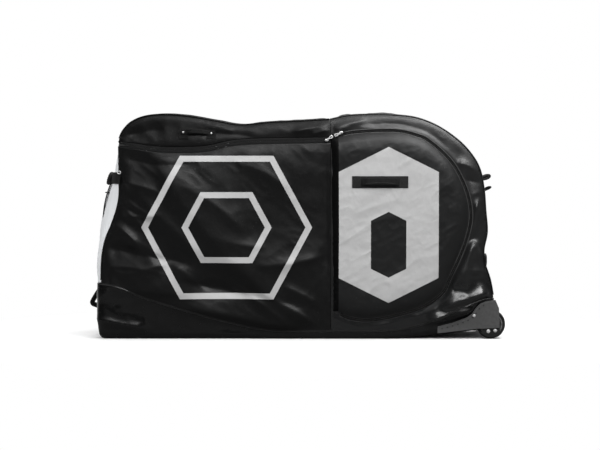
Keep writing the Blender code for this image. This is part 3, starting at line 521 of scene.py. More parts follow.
def ageGroup():
    # broad tone drift, fine mottling and sparse pale dust
    tree, given, result = newGroup("Handling", ["Tone", "Dust", "Fine"], Amount=0.2)
    vector = given["Vector"]
    fine = noise(vector, 60.0, 5.0, 0.6)
    broad = calc("SUBTRACT", noise(vector, 3.1, 3.0), 0.5)
    drift = calc("MULTIPLY_ADD", broad, 1.6, calc("SUBTRACT", fine, 0.5))
    specks = spread(noise(vector, 240.0, 2.0), 0.66, 0.78)
    patches = spread(noise(vector, 5.0, 3.0), 0.45, 0.75)
    tone = calc("MULTIPLY_ADD", drift, given["Amount"], 1.0)
    plug(result, Tone=tone, Dust=calc("MULTIPLY", specks, patches), Fine=fine)
    return tree


def wearGroup():
    # rubbed edges: where the surface is convex, broken up by noise
    tree, given, result = newGroup("Edge wear", ["Mask"], Low=0.52, High=0.6)
    convex = tree.nodes.new("ShaderNodeNewGeometry").outputs["Pointiness"]
    broken = spread(noise(given["Vector"], 90.0, 4.0), 0.35, 0.6)
    plug(result, Mask=calc("MULTIPLY", spread(convex, given["Low"], given["High"]), broken, clamp=True))
    return tree


def hexGroup():
    # distance to a long hexagon with pointed left and right ends, or pointed top and bottom where Tall is 1:
    # the larger of |b| - height and |a| + slant * |b| - reach, the second divided by its slope's length
    tree, given, result = newGroup("Hexagon", ["Distance"], Centre_X=0.0, Centre_Z=0.0, Reach=0.2, Height=0.2,
                                   Slant=0.5, Tall=0.0)
    x, _, z = split(given["Vector"])
    u = calc("ABSOLUTE", calc("SUBTRACT", x, given["Centre X"]))
    v = calc("ABSOLUTE", calc("SUBTRACT", z, given["Centre Z"]))
    tall, slant = given["Tall"], given["Slant"]
    wide = calc("SUBTRACT", 1.0, tall)
    a = calc("ADD", calc("MULTIPLY", u, wide), calc("MULTIPLY", v, tall))
    b = calc("ADD", calc("MULTIPLY", v, wide), calc("MULTIPLY", u, tall))
    slope = calc("SUBTRACT", calc("ADD", a, calc("MULTIPLY", slant, b)), given["Reach"])
    size = calc("SQRT", calc("MULTIPLY_ADD", slant, slant, 1.0))
    plug(result, Distance=calc("MAXIMUM", calc("SUBTRACT", b, given["Height"]), calc("DIVIDE", slope, size)))
    return tree


groups = {"weave": weaveGroup(), "ribs": ribsGroup(), "age": ageGroup(), "wear": wearGroup(),
          "hexagon": hexGroup()}


def use(name, vector, **values):
    node = newNode("ShaderNodeGroup", (vector,), node_tree=groups[name])
    plug(node, **values)
    return node.outputs


def newLook(name, roughness, specular, metallic=0.0):
    look = bpy.data.materials.new(name)
    look.use_nodes = True
    shader = look.node_tree.nodes["Principled BSDF"]
    plug(shader, Roughness=roughness, Specular_IOR_Level=specular, Metallic=metallic)
    where = look.node_tree.nodes.new("ShaderNodeTexCoord").outputs
    return look, shader, where["Object"], where["UV"]


def grey(value, warm=0.0):
    # a grey written as its sRGB number, made linear
    linear = ((value / 255 + 0.055) / 1.055) ** 2.4
    return (linear * (1 + warm), linear, linear * (1 - warm), 1.0)


# The printed shapes: nested hexagon lines on the body, and a solid one with a dark middle on each pocket.
# Each is x, z, reach, height and slant of its middle, and 1 where it stands tall.
printInk = {"tone": 181, "roughness": 0.46, "softEdge": 0.0007, "line": 0.0195, "rubbed": 0.45,
            "overWeave": 0.4}
bodyPrint = {"outer": (-0.2235, 0.354, 0.270, 0.2265, 0.54, 0.0),
             "inner": (-0.2235, 0.354, 0.142, 0.112, 0.54, 0.0)}
pocketPrint = {"solid": (0.2864, 0.362, 0.246, 0.158, 0.50, 1.0),
               "hole": (0.2864, 0.300, 0.104, 0.056, 0.50, 1.0)}


def hexagon(vector, x, z, reach, height, slant, tall):
    return use("hexagon", vector, Centre_X=x, Centre_Z=z, Reach=reach, Height=height, Slant=slant,
               Tall=tall)["Distance"]


def hexLine(distance):
    half = printInk["line"] / 2
    away = calc("ABSOLUTE", calc("ADD", distance, half))
    return spread(away, half - printInk["softEdge"], half, 1.0, 0.0)


def hexFill(distance):
    return spread(distance, -printInk["softEdge"], 0.0, 1.0, 0.0)


def bodyHexagons(vector):
    return calc("MAXIMUM", *(hexLine(hexagon(vector, *shape)) for shape in bodyPrint.values()))


def pocketHexagon(vector):
    solid, hole = (hexFill(hexagon(vector, *shape)) for shape in pocketPrint.values())
    return calc("MULTIPLY", solid, calc("SUBTRACT", 1.0, hole))


def clothLook(name, tone, roughness=0.43, specular=0.36, pitch=0.0012, wrinkle=0.0012, wrinkleScale=26.0,
              wrinkleDetail=3.0, weaveDepth=0.00003, ageing=0.2, dustTone=120, ink=None, shine=None):
    look, shader, vector, _ = newLook(name, roughness, specular)
    age = use("age", vector, Amount=ageing)
    colour = tinted(grey(tone, -0.02)[:3], age["Tone"])
    colour = mixColour(calc("MULTIPLY", age["Dust"], 0.35), colour, grey(dustTone))
    rough = calc("MULTIPLY_ADD", age["Fine"], 0.16, roughness - 0.08)
    if shine:  # smoother towards the floor: how much, from that height down to this one
        rough = calc("SUBTRACT", rough, spread(split(vector)[2], shine[1], shine[2], shine[0], 0.0))
    weave = use("weave", vector, Pitch=pitch)["Height"]
    if ink:
        rubbed = spread(noise(vector, 130.0, 4.0, 0.7), 0.26, 0.31, printInk["rubbed"], 1.0)
        mask = calc("MULTIPLY", ink(vector), rubbed)
        inkTone = tinted(grey(printInk["tone"])[:3], calc("MULTIPLY_ADD", age["Fine"], 0.14, 0.93))
        colour = mixColour(mask, colour, inkTone)
        rough = spread(mask, 0.0, 1.0, rough, printInk["roughness"])
        weave = calc("MULTIPLY", weave, calc("MULTIPLY_ADD", mask, printInk["overWeave"] - 1.0, 1.0))
    creases = bump(noise(vector, wrinkleScale, wrinkleDetail, 0.5), wrinkle)
    plug(shader, Base_Color=colour, Roughness=rough, Normal=bump(weave, weaveDepth, creases))
    return look


def webLook(name, tone, roughness=0.7, pitch=0.0022):
    look, shader, vector, run = newLook(name, roughness, 0.25)
    ribs = use("ribs", run, Pitch=pitch)["Height"]
    # ribs darken the colour from 1.15 on their crests to 0.6 in their grooves: painted shade in the grooves,
    # over the random tone drift
    shade = calc("MULTIPLY", use("age", vector, Amount=0.3)["Tone"], spread(ribs, 0.0, 1.0, 0.6, 1.15))
    plug(shader, Base_Color=tinted(grey(tone)[:3], shade), Normal=bump(ribs, 0.0006))
    return look


def plasticLook(name, tone, roughness, specular=0.4, worn=120, grain=900.0, grainDepth=0.00012):
    look, shader, vector, _ = newLook(name, roughness, specular)
    age = use("age", vector, Amount=0.16)
    colour = tinted(grey(tone)[:3], age["Tone"])
    colour = mixColour(calc("MULTIPLY", use("wear", vector)["Mask"], 0.55), colour, grey(worn))
    colour = mixColour(calc("MULTIPLY", age["Dust"], 0.25), colour, grey(worn + 30))
    plug(shader, Base_Color=colour, Roughness=calc("MULTIPLY_ADD", age["Fine"], 0.2, roughness - 0.1),
         Normal=bump(noise(vector, grain, 2.0), grainDepth))
    return look


def metalLook(name, tone, roughness, metallic):
    look, shader, vector, _ = newLook(name, roughness, 0.5, metallic)
    scuffs = noise(vector, 40.0, 6.0, 0.7, (1.0, 1.0, 14.0))
    plug(shader, Base_Color=tinted(grey(tone)[:3], use("age", vector, Amount=0.2)["Tone"]),
         Roughness=spread(scuffs, 0.3, 0.75, roughness - 0.06, roughness + 0.2), Normal=bump(scuffs, 0.00004))
    return look


def threadLook(name, tone):
    look, shader, vector, _ = newLook(name, 0.6, 0.3)
    plug(shader, Base_Color=tinted(grey(tone)[:3], use("age", vector, Amount=0.3)["Tone"]),
         Normal=bump(noise(vector, 1500.0, 2.0), 0.00008))
    return look


# Each finish: its tone as an sRGB number, then roughness, specular level and what else differs
finishes = [
    (clothLook, "bodyCloth", 11, {"ink": bodyHexagons}),
    # the same black fabric as the body, written lighter on the pocket doors: painted light, with the print on
    # it
    (clothLook, "pocketCloth", 25, {"ink": pocketHexagon}),
    (clothLook, "plainCloth", 14, {"roughness": 0.41}),
    # the same black fabric, written darker on the lid and its piping: painted shade
    (clothLook, "lidCloth", 8, {"roughness": 0.45, "specular": 0.30}),
    # the same black fabric, written lighter on the pocket surround, the tail and the dome piping: painted
    # light
    (clothLook, "yokeCloth", 24, {"roughness": 0.41, "specular": 0.60, "shine": (0.17, 0.15, 0.24)}),
    # the same black fabric, written nearly black on the pockets' gusset strips: painted shade
    (clothLook, "stripCloth", 6, {"roughness": 0.55, "specular": 0.16, "wrinkle": 0.002}),
    (clothLook, "liningCloth", 62, {"roughness": 0.75, "specular": 0.3, "pitch": 0.002, "dustTone": 150}),
    (clothLook, "paleCloth", 206, {"roughness": 0.62, "specular": 0.35, "wrinkle": 0.0022, "ageing": 0.06,
                                   "dustTone": 150}),
    (clothLook, "tarp", 10, {"roughness": 0.25, "specular": 0.60, "pitch": 0.0016, "wrinkle": 0.0060,
                             "wrinkleScale": 13.0, "wrinkleDetail": 2.0, "weaveDepth": 0.00001,
                             "dustTone": 90}),
    (clothLook, "zipTape", 18, {"roughness": 0.6, "specular": 0.3, "pitch": 0.0008}),
    (webLook, "webbing", 15, {}),
    # paler webbing for the door handle's patch and a tail tab, and on the handle's fold a painted highlight
    (webLook, "patchWeb", 36, {}),
    (webLook, "binding", 26, {"pitch": 0.0016}),
    # pale cords on the pockets' black piping: painted highlight lines
    (plasticLook, "weltCord", 58, {"roughness": 0.42, "specular": 0.5, "worn": 90}),
    (plasticLook, "coil", 30, {"roughness": 0.35, "specular": 0.5, "worn": 80}),
    (plasticLook, "guardPlastic", 72, {"roughness": 0.5, "grain": 520.0, "grainDepth": 0.0002}),
    (plasticLook, "blackPlastic", 24, {"roughness": 0.38, "specular": 0.45, "worn": 80}),
    (plasticLook, "tyreRubber", 26, {"roughness": 0.55, "specular": 0.35, "worn": 70, "grain": 300.0,
                                     "grainDepth": 0.0002}),
    (plasticLook, "hubPlastic", 84, {"roughness": 0.45, "worn": 130}),
    (plasticLook, "boardPlastic", 62, {"roughness": 0.6, "specular": 0.3, "worn": 100}),
    (metalLook, "nickel", 226, {"roughness": 0.28, "metallic": 0.45}),
    (threadLook, "thread", 46, {})]
looks = {name: makeLook(name, tone, **settings) for makeLook, name, tone, settings in finishes}
print("materials done")

# Camera, light and floor
view = {"from": (0.0076, -4.64, 0.519), "to": (0.0076, -0.14, 0.362), "lens": 85.7}
# each lamp: its place, what it faces, its width, height and power, and whether glossy surfaces show it
lamps = [
    ("keyRight", (1.7, -1.9, 2.9), (0.0, 0.0, 0.35), 1.7, 1.2, 84.0, True),
    ("sheenTop", (0.25, -2.8, 2.6), (0.0, 0.0, 0.35), 1.5, 0.7, 36.0, True),
    ("overhead", (1.0, 0.1, 2.7), (0.3, 0.0, 0.60), 1.4, 1.0, 30.0, True),
    ("leftSide", (-3.0, -0.9, 1.1), (-0.4, 0.0, 0.35), 1.0, 1.6, 54.0, False),
    ("frontFill", (-0.4, -3.6, 1.6), (0.0, 0.0, 0.35), 1.6, 1.2, 22.0, False),
    ("backFill", (-0.6, 3.0, 2.2), (0.0, 0.0, 0.35), 1.6, 1.2, 90.0, False)]
floor = {"size": 9.0, "tone": 0.95, "bounce": 0.11, "plainReach": 0.66, "whiteReach": 0.98}
ambient = {"diffuse": 0.24, "behind": 0.28, "front": 0.015}


def aim(name, data, spot, target):
    holder = bpy.data.objects.new(name, data)
    holder.location = spot
    holder.rotation_euler = (Vector(target) - Vector(spot)).to_track_quat("-Z", "Y").to_euler()
    scene.collection.objects.link(holder)
    return holder


def makeCamera():
    scene.camera = aim("camera", bpy.data.cameras.new("camera"), view["from"], view["to"])
    scene.camera.data.lens = view["lens"]


def makeLamps():
    for name, spot, target, width, height, power, mirrored in lamps:
        lamp = bpy.data.lights.new(name, "AREA")
        lamp.shape = "RECTANGLE"
        lamp.size, lamp.size_y, lamp.energy = width, height, power
        aim(name, lamp, spot, target).visible_glossy = mirrored


def makeWorld():
    # white to the camera; glossy rays see white behind and above and a dim room in front
    world = bpy.data.worlds.new("studio")
    world.use_nodes = True
    scene.world = world
    nodes = world.node_tree.nodes
    rays = nodes.new("ShaderNodeLightPath").outputs
    _, y, z = split(nodes.new("ShaderNodeTexCoord").outputs["Generated"])
    behind = spread(y, -0.1, 0.45, ambient["front"], ambient["behind"])
    glossy = calc("ADD", behind, spread(z, 0.35, 0.95, 0.0, 0.5), clamp=True)
    shown = calc("MAXIMUM", rays["Is Camera Ray"], rays["Is Transmission Ray"])
    strength = mixValue(rays["Is Glossy Ray"], ambient["diffuse"], glossy)
    plug(nodes["Background"], Color=(1, 1, 1, 1), Strength=mixValue(shown, strength, 1.0))


def makeFloor():
    # pale and shadow-catching round the bag, plain white further out
    look, shader, vector, _ = newLook("floorPaint", 0.7, 0.2)
    looks["floorPaint"] = look
    nodes = look.node_tree.nodes
    rays = nodes.new("ShaderNodeLightPath").outputs
    bounce, tone = ((floor[key], floor[key], floor[key], 1) for key in ("bounce", "tone"))
    plug(shader, Base_Color=mixColour(rays["Is Camera Ray"], bounce, tone))
    x, y, _ = split(vector)
    reach = calc("SQRT", calc("ADD", calc("POWER", calc("MULTIPLY", x, 0.8), 2.0), calc("POWER", y, 2.0)))
    mirrored = calc("MULTIPLY", rays["Is Glossy Ray"], spread(y, 0.1, 0.7))
    seen = calc("MAXIMUM", rays["Is Camera Ray"], mirrored)
    white = calc("MULTIPLY", spread(reach, floor["plainReach"], floor["whiteReach"]), seen)
    glow = nodes.new("ShaderNodeEmission")
    mixer = newNode("ShaderNodeMixShader", (white, shader.outputs[0], glow.outputs[0]))
    plug(nodes["Material Output"], Surface=mixer.outputs[0])
    half = floor["size"] / 2
    corners = np.array([(-half, -half, 0.0), (half, -half, 0.0), (half, half, 0.0), (-half, half, 0.0)])
    addMesh("floor", corners, np.array([[0, 1, 2, 3]]), "floorPaint")


scene.view_settings.view_transform = "Standard"
makeCamera()
makeLamps()
makeWorld()
makeFloor()
print("stage done")


# Curves that the panels share. The bands across the bag crown a little above their piped edges.
edgeCrown, crownLift = 0.0025, 0.003
foldX = place([domeShares[0]])[0, 0]
rightEnd = place([(rightEndShare, 0.0)])[0, 0]
lidRamp, domeRamp = (np.minimum(1.0, np.linspace(*ends)) for ends in ((0.0, 4.0, 150), (4.0, 0.0, 280)))
lidOutline, domeOutline = smoothPath(place(lidTopShares), 150), smoothPath(place(domeShares), 280)
lidEdge, lidMiddle = sideStep(lidOutline, edgeCrown * lidRamp), sideStep(lidOutline, -crownLift * lidRamp)
domeEdge, domeMiddle = sideStep(domeOutline, edgeCrown), sideStep(domeOutline, -crownLift * domeRamp)
zipLine = lookUp(smoothPath(place(zipShares), 240))
tubRim = lookUp(smoothPath(place(tubRimShares), 200))
tubFloor = lookUp(place(tubFloorShares))
endEdge = lookUp(smoothPath(place(endEdgeShares), 90), 1)
endMiddle = lookUp(smoothPath(place(endMiddleShares), 90), 1)
endRise = np.linspace(tubRim(bodyLeft), lidEdge[0, 1], 90)
endOutline = np.stack([endEdge(endRise), endRise], axis=1)
pipedRim = np.concatenate([endOutline, lidEdge[4:], domeEdge])
guardTop = place(guardTopShares)

# The two long sides. Each fold is its two ends, then width, height, bow and lean.
sideShape = {
    "bulge": 0.010, "bulgeReach": 0.13, "roll": 0.0055, "rollWidth": 0.009, "shoulder": 0.009,
    "shoulderWidth": 0.042, "fade": 0.04, "zipWidth": 0.022, "most": 0.026, "crumple": 0.0034,
    "crumpleStep": 0.15, "drift": 0.006, "driftStep": 0.21, "farFolds": -0.75, "farShift": (0.03, 0.015),
    "folds": [
        (-0.47, 0.60, 0.02, 0.05, 0.046, 0.0300, -0.035, -0.35),
        (-0.56, 0.53, -0.27, 0.24, 0.034, 0.0150, -0.012, -0.30),
        (-0.14, 0.232, 0.085, 0.266, 0.018, 0.0110, -0.010, -0.20),
        (-0.60, 0.345, -0.43, 0.220, 0.036, 0.0160, 0.010, 0.20),
        (-0.13, 0.155, 0.06, 0.045, 0.018, 0.0140, 0.004, 0.40),
        (-0.21, 0.180, -0.03, 0.045, 0.014, 0.0090, 0.004, 0.40),
        (-0.05, 0.170, 0.07, 0.110, 0.014, 0.0070, 0.004, 0.30),
        (0.088, 0.60, 0.092, 0.15, 0.020, -0.0080, 0.0, 0.0),
        (-0.575, 0.500, -0.43, 0.460, 0.014, 0.0100, 0.006, 0.0),
        (-0.575, 0.470, -0.45, 0.385, 0.013, 0.0110, -0.008, 0.0),
        (-0.580, 0.430, -0.48, 0.345, 0.011, 0.0100, 0.006, 0.0),
        (-0.560, 0.400, -0.43, 0.395, 0.010, 0.0080, -0.010, 0.0),
        (-0.590, 0.370, -0.50, 0.290, 0.012, 0.0090, 0.008, 0.0),
        (-0.555, 0.580, -0.30, 0.560, 0.022, -0.0080, -0.020, 0.0),
        (-0.40, 0.500, -0.16, 0.330, 0.020, 0.0090, 0.020, 0.0),
        (-0.30, 0.330, -0.10, 0.290, 0.016, 0.0070, -0.006, 0.0),
        (-0.50, 0.300, -0.30, 0.160, 0.022, 0.0080, 0.012, 0.0),
        (-0.20, 0.560, -0.02, 0.470, 0.024, 0.0060, 0.012, 0.0),
        (0.5525, 0.312, 0.490, 0.165, 0.019, 0.0200, 0.010, 0.0),
        (0.5525, 0.312, 0.614, 0.222, 0.016, 0.0180, 0.0, 0.0),
        (0.545, 0.330, 0.580, 0.450, 0.016, 0.0100, 0.006, 0.0),
        (0.5525, 0.312, 0.540, 0.140, 0.012, 0.0120, -0.012, 0.0),
        (0.43, 0.590, 0.53, 0.475, 0.018, 0.0120, 0.006, 0.0),
        (0.455, 0.098, 0.640, 0.154, 0.013, 0.0300, 0.004, -0.35),
        (0.405, 0.054, 0.560, 0.094, 0.011, 0.0260, 0.003, -0.35),
        (0.50, 0.210, 0.635, 0.205, 0.012, 0.0160, 0.006, -0.30),
        (-0.655, 0.066, -0.46, 0.022, 0.014, 0.0170, 0.003, -0.30),
        (-0.42, 0.110, 0.02, 0.026, 0.026, 0.0170, 0.004, -0.40),
        (-0.33, 0.650, -0.12, 0.636, 0.016, -0.0060, 0.006, 0.0),
        (-0.56, 0.640, -0.42, 0.662, 0.014, -0.0060, 0.004, 0.0),
        (-0.28, 0.685, -0.20, 0.655, 0.011, 0.0060, 0.003, 0.0),
        (-0.02, 0.655, 0.10, 0.678, 0.012, 0.0080, 0.002, 0.0),
        (0.04, 0.640, 0.10, 0.662, 0.009, 0.0060, 0.002, 0.0),
        (0.110, 0.668, 0.22, 0.694, 0.012, 0.0080, 0.002, 0.0),
        (0.112, 0.660, 0.17, 0.665, 0.009, 0.0060, 0.002, 0.0),
        (0.50, 0.560, 0.585, 0.520, 0.014, 0.0080, 0.006, 0.0),
        (0.55, 0.420, 0.60, 0.400, 0.012, 0.0070, 0.002, 0.0),
        (0.515, 0.505, 0.585, 0.492, 0.012, -0.0060, 0.003, 0.0),
        (0.540, 0.452, 0.600, 0.470, 0.012, 0.0040, 0.002, 0.0),
        (-0.600, 0.230, -0.420, 0.205, 0.012, 0.0060, 0.008, -0.20),
        (-0.560, 0.190, -0.400, 0.240, 0.010, 0.0050, 0.006, 0.0),
        (-0.660, 0.175, -0.330, 0.140, 0.034, 0.0170, 0.0, -0.50),
        (-0.640, 0.300, -0.330, 0.235, 0.034, -0.0230, 0.0, 0.0),
        (-0.380, 0.185, 0.02, 0.100, 0.026, -0.0170, 0.004, 0.0)]}


def clearOfGuard(x, z):
    # 0 beside the corner guard, so that the cloth lies flat under it, and 1 past its edge
    edge = np.interp(x, guardTop[:, 0], guardTop[:, 1])
    return 1.0 - easeIn(x, guardTop[0, 0] - 0.03, guardTop[0, 0] + 0.01) * easeIn(-(z - edge), -0.013, -0.001)


def rollIn(away):
    # the turn towards the piping: a tight roll on a broad shoulder, both roll * exp(-distance / width)
    tight = sideShape["roll"] * np.exp(-away / sideShape["rollWidth"])
    return tight + sideShape["shoulder"] * np.exp(-away / sideShape["shoulderWidth"])


def rimDistance(x, z):
    return curveDistance(np.stack([x, z], axis=-1), pipedRim)


def sideDepth(x, z, sign):
    # half the bag's depth there: a bulge, folds and crumples that fade at the floor and roll in at the piping
    x, z = np.broadcast_arrays(np.asarray(x, float), np.asarray(z, float))
    away, height = rimDistance(x, z), z - tubFloor(x)
    seed, share, shift = 11, 1.0, (0.0, 0.0)
    if sign > 0:
        seed, share, shift = 31, sideShape["farFolds"], sideShape["farShift"]
    folds = share * foldHeights(x + shift[0], z + shift[1], sideShape["folds"])
    creases = sideShape["crumple"] * crumple(x, z, sideShape["crumpleStep"], seed, -0.6, 1.5)
    drift = sideShape["drift"] * softNoise(x, z, sideShape["driftStep"], seed + 9)
    fade = easeIn(away, 0.0, sideShape["fade"]) * easeIn(height, 0.004, 0.05)
    bulge = sideShape["bulge"] * (1.0 - np.exp(-(np.minimum(away, height) / sideShape["bulgeReach"]) ** 2))
    zipped = np.exp(-((z - zipLine(x)) / sideShape["zipWidth"]) ** 2)
    zipped = zipped * easeIn(-x, -foldX - 0.03, -foldX - 0.005)
    relief = fade * (folds + creases + drift)
    relief = sideShape["most"] * np.tanh(relief / sideShape["most"]) * clearOfGuard(x, z)
    relief = (relief + np.maximum(bulge, 0.0) * clearOfGuard(x, z)) * (1.0 - zipped)
    return halfDepth + relief - rollIn(away)


def onSide(flat, sign, lift=0.0):
    # a path in X and Z laid on the bag's long side
    return upright(flat, sign * (sideDepth(flat[:, 0], flat[:, 1], sign) + lift))


# Side panels
sidePanel = {"columns": 190, "rows": 128, "wall": 0.0045}


def makeSidePanel(side, sign):
    # u runs from the end panel's edge to the fold seam, v from the tub's rim to the zip
    u = np.linspace(0.0, 1.0, sidePanel["columns"])[:, None]
    v = np.linspace(0.0, 1.0, sidePanel["rows"])[None, :]
    x = bodyLeft + u * (foldX - gap - bodyLeft) + 0 * v
    for _ in range(12):
        low, high = tubRim(x) + gap, zipLine(x) - zipTapeWidth - gap
        z = low + (high - low) * v
        left = endEdge(z) + gap
        x = left + (foldX - gap - left) * u
    grid = np.stack([x, sign * sideDepth(x, z, sign), z], axis=2)
    panel = addWall(surface(side + "SidePanel", grid, "bodyCloth", (0, sign, 0)), sidePanel["wall"])
    dress(panel, "root", "black_fabric", side + "_side_panel")


# Bands: the pale end, the lid's top and the tail
band = {"crown": 2.3, "columns": 46, "wall": 0.0045}


def bandGrid(middle, edge, columns):
    # each row crosses the bag: middle + (edge - middle) * |t| ^ crown
    t = np.linspace(-1.0, 1.0, columns)[None, :]
    share = np.abs(t) ** band["crown"]
    x, z = (middle[:, k:k + 1] + (edge[:, k:k + 1] - middle[:, k:k + 1]) * share for k in (0, 1))
    return np.stack([x, bandHalf * t + 0 * x, z], axis=2)


def bandFade(columns):
    return easeIn(1.0 - np.abs(np.linspace(-1.0, 1.0, columns)), 0.0, 0.25)[None, :]


def pushOut(grid, outward, push):
    return grid + faceOut(grid, outward) * push[:, :, None]


endPanel = {"rows": 130, "columns": 64, "crease": 0.0030, "creaseStep": 0.05, "pinch": 0.004,
            "pinchWidth": 0.03, "bulge": 0.0115, "bulgeFoot": 0.45}
endStrapZ, tailStrapZ = (boxOf(node)[2][2] for node in ("end_strap_front", "tail_strap_front"))


def makeEndPanel():
    # band up the end wall: out by crumples and a low bulge, in by a bell curve under the strap
    z = np.linspace(tubRim(bodyLeft) + gap, zipLine(bodyLeft) - zipTapeWidth - gap, endPanel["rows"])
    columns = endPanel["columns"]
    grid = bandGrid(np.stack([endMiddle(z), z], axis=1), np.stack([endEdge(z), z], axis=1), columns)
    y, height = grid[:, :, 1], grid[:, :, 2]
    creases = endPanel["crease"] * crumple(y, height * 0.35, endPanel["creaseStep"], 71)
    pinch = endPanel["pinch"] * np.exp(-((height - endStrapZ) / endPanel["pinchWidth"]) ** 2)
    foot, head = height.min(), height.max()
    ends = easeIn(height, foot, foot + 0.03) * easeIn(-height, -head, -head + 0.03)
    bulge = endPanel["bulge"] * easeIn(-height, -endPanel["bulgeFoot"], -foot - 0.05)
    push = (creases * ends - pinch) * bandFade(columns) + bulge * easeIn(bandHalf - np.abs(y), 0.0, 0.02)
    panel = surface("endPanel", pushOut(grid, (-1, 0, 0), push), "paleCloth", (-1, 0, 0))
    dress(addWall(panel, band["wall"]), "root", "pale_fabric", "left_end_panel")


# Tucks across the tail: how far from the fold, how wide and how high
tail = {"crease": 0.0024, "creaseStep": 0.085,
        "tucks": [(0.012, 0.010, -0.007), (0.045, 0.016, 0.003), (0.085, 0.020, -0.003), (0.16, 0.03, 0.003)]}


def makeTailGusset():
    # band over the dome and down the end: out by crumples and a bell curve for each tuck
    middle, edge = domeMiddle.copy(), domeEdge.copy()
    middle[0], edge[0] = (foldX + gap, middle[0, 1]), (foldX + gap, middle[0, 1] - edgeCrown)
    grid = bandGrid(middle, edge, band["columns"])
    run, y = runAlong(middle)[:, None], grid[:, :, 1]
    creases = tail["crease"] * crumple(run * 1.2 + 0 * y, y + 0.2 * run, tail["creaseStep"], 91, 0.5)
    for start, width, height in tail["tucks"]:
        creases = creases + height * np.exp(-((run - start - 0.08 * np.abs(y)) / width) ** 2)
    underStrap = np.exp(-(((grid[:, :, 2] - tailStrapZ) / 0.03) ** 4)) * (grid[:, :, 0] > 0.5)
    push = creases * bandFade(band["columns"]) * easeIn(run, 0.0, 0.006) * (1.0 - underStrap)
    # the tail's cloth is written lighter than the body's: painted light
    panel = surface("tailGusset", pushOut(grid, (0.5, 0, 1), push), "yokeCloth", (0.5, 0, 1))
    dress(addWall(panel, band["wall"]), "root", "black_fabric", "tail_gusset")


lid = {"yokeRows": 18, "crease": 0.0032, "creaseStep": 0.10, "wall": 0.0042, "dip": 0.006, "dipWidth": 0.012}


def makeLid():
    # each row starts at the near zip, climbs the yoke, crosses the top and comes down to the far zip
    middle, edge = lidMiddle.copy(), lidEdge.copy()
    middle[-1], edge[-1] = (foldX - gap, middle[-1, 1]), (foldX - gap, middle[-1, 1] - edgeCrown)
    top = bandGrid(middle, edge, band["columns"])
    run = runAlong(middle)[:, None]
    creases = lid["crease"] * crumple(run + 0 * top[:, :, 1], top[:, :, 1], lid["creaseStep"], 131, 0.35)
    creases = creases - lid["dip"] * np.exp(-((run[-1] - run) / lid["dipWidth"]) ** 2)
    top = pushOut(top, (-0.2, 0, 1), creases * bandFade(band["columns"]) * easeIn(run[-1] - run, 0.0, 0.004))
    v = np.linspace(0.0, 1.0, lid["yokeRows"])[None, :-1]
    x = edge[:, :1] + 0 * v
    low = zipLine(x) + zipTapeWidth + gap
    z = low + (np.maximum(edge[:, 1:], low + gap) - low) * v
    nearYoke, farYoke = (np.stack([x, sign * sideDepth(x, z, sign), z], axis=2) for sign in (near, far))
    grid = np.concatenate([nearYoke, top, farYoke[:, ::-1]], axis=1)
    # the lid's cloth is written darker than the body's: painted shade
    shell = addWall(surface("lidShell", grid, "lidCloth", (0, 0, 1)), lid["wall"])
    dress(shell, "lid", "black_fabric", "lid_top_panel", "lid_front_yoke", "lid_back_yoke")


# A black tape over the fold seam, where the lid meets the tail
seamTape = {"width": 0.0095, "thick": 0.0009, "shift": 0.0036, "foot": 0.010, "head": 0.0025}


def makeSeamTape(side, sign):
    # a thin flat profile carried straight up the wall beside the fold
    x = foldX + seamTape["shift"]
    top = np.interp(x, domeEdge[:, 0], domeEdge[:, 1])
    z = np.linspace(zipLine(foldX) + seamTape["foot"], top - seamTape["head"], 40)
    tape = sweep(side + "SeamTape", onSide(np.stack([0 * z + x, z], axis=1), sign), (0, sign, 0),
                 strapProfile(seamTape["width"], seamTape["thick"]), "plainCloth")
    dress(tape, "root", "black_fabric")


# Tub: rings from the rim down each wall, round the foot and in to the middle line of the floor
tub = {"corner": 0.020, "foot": 0.020, "wallRows": 34, "footRows": 7, "floorRows": 8, "wall": 0.0035,
       "endCrease": 0.003, "endBulge": 0.0055, "columns": 620, "wellRoom": 0.0088}


def tubPlan():
    # rounded rectangle, near side first, with the outward direction at each point
    left, right, deep, corner = bodyLeft + gap, rightEnd, halfDepth, tub["corner"]
    turn = np.linspace(0.0, 0.5 * math.pi, 12)[:, None]
    arcs = []
    for x, y, start in ((right, -deep, -0.5), (right, deep, 0.0), (left, deep, 0.5), (left, -deep, 1.0)):
        middle = np.array([x - math.copysign(corner, x - 0.5 * (left + right)), y - math.copysign(corner, y)])
        angle = turn + start * math.pi
        arcs.append(middle + corner * np.hstack([np.cos(angle), np.sin(angle)]))
    plan = evenPath(np.concatenate([*arcs, arcs[0][:1]]), tub["columns"] + 1)[:-1]
    along = headings(plan, closed=True)
    return plan, np.stack([along[:, 1], -along[:, 0]], axis=1)


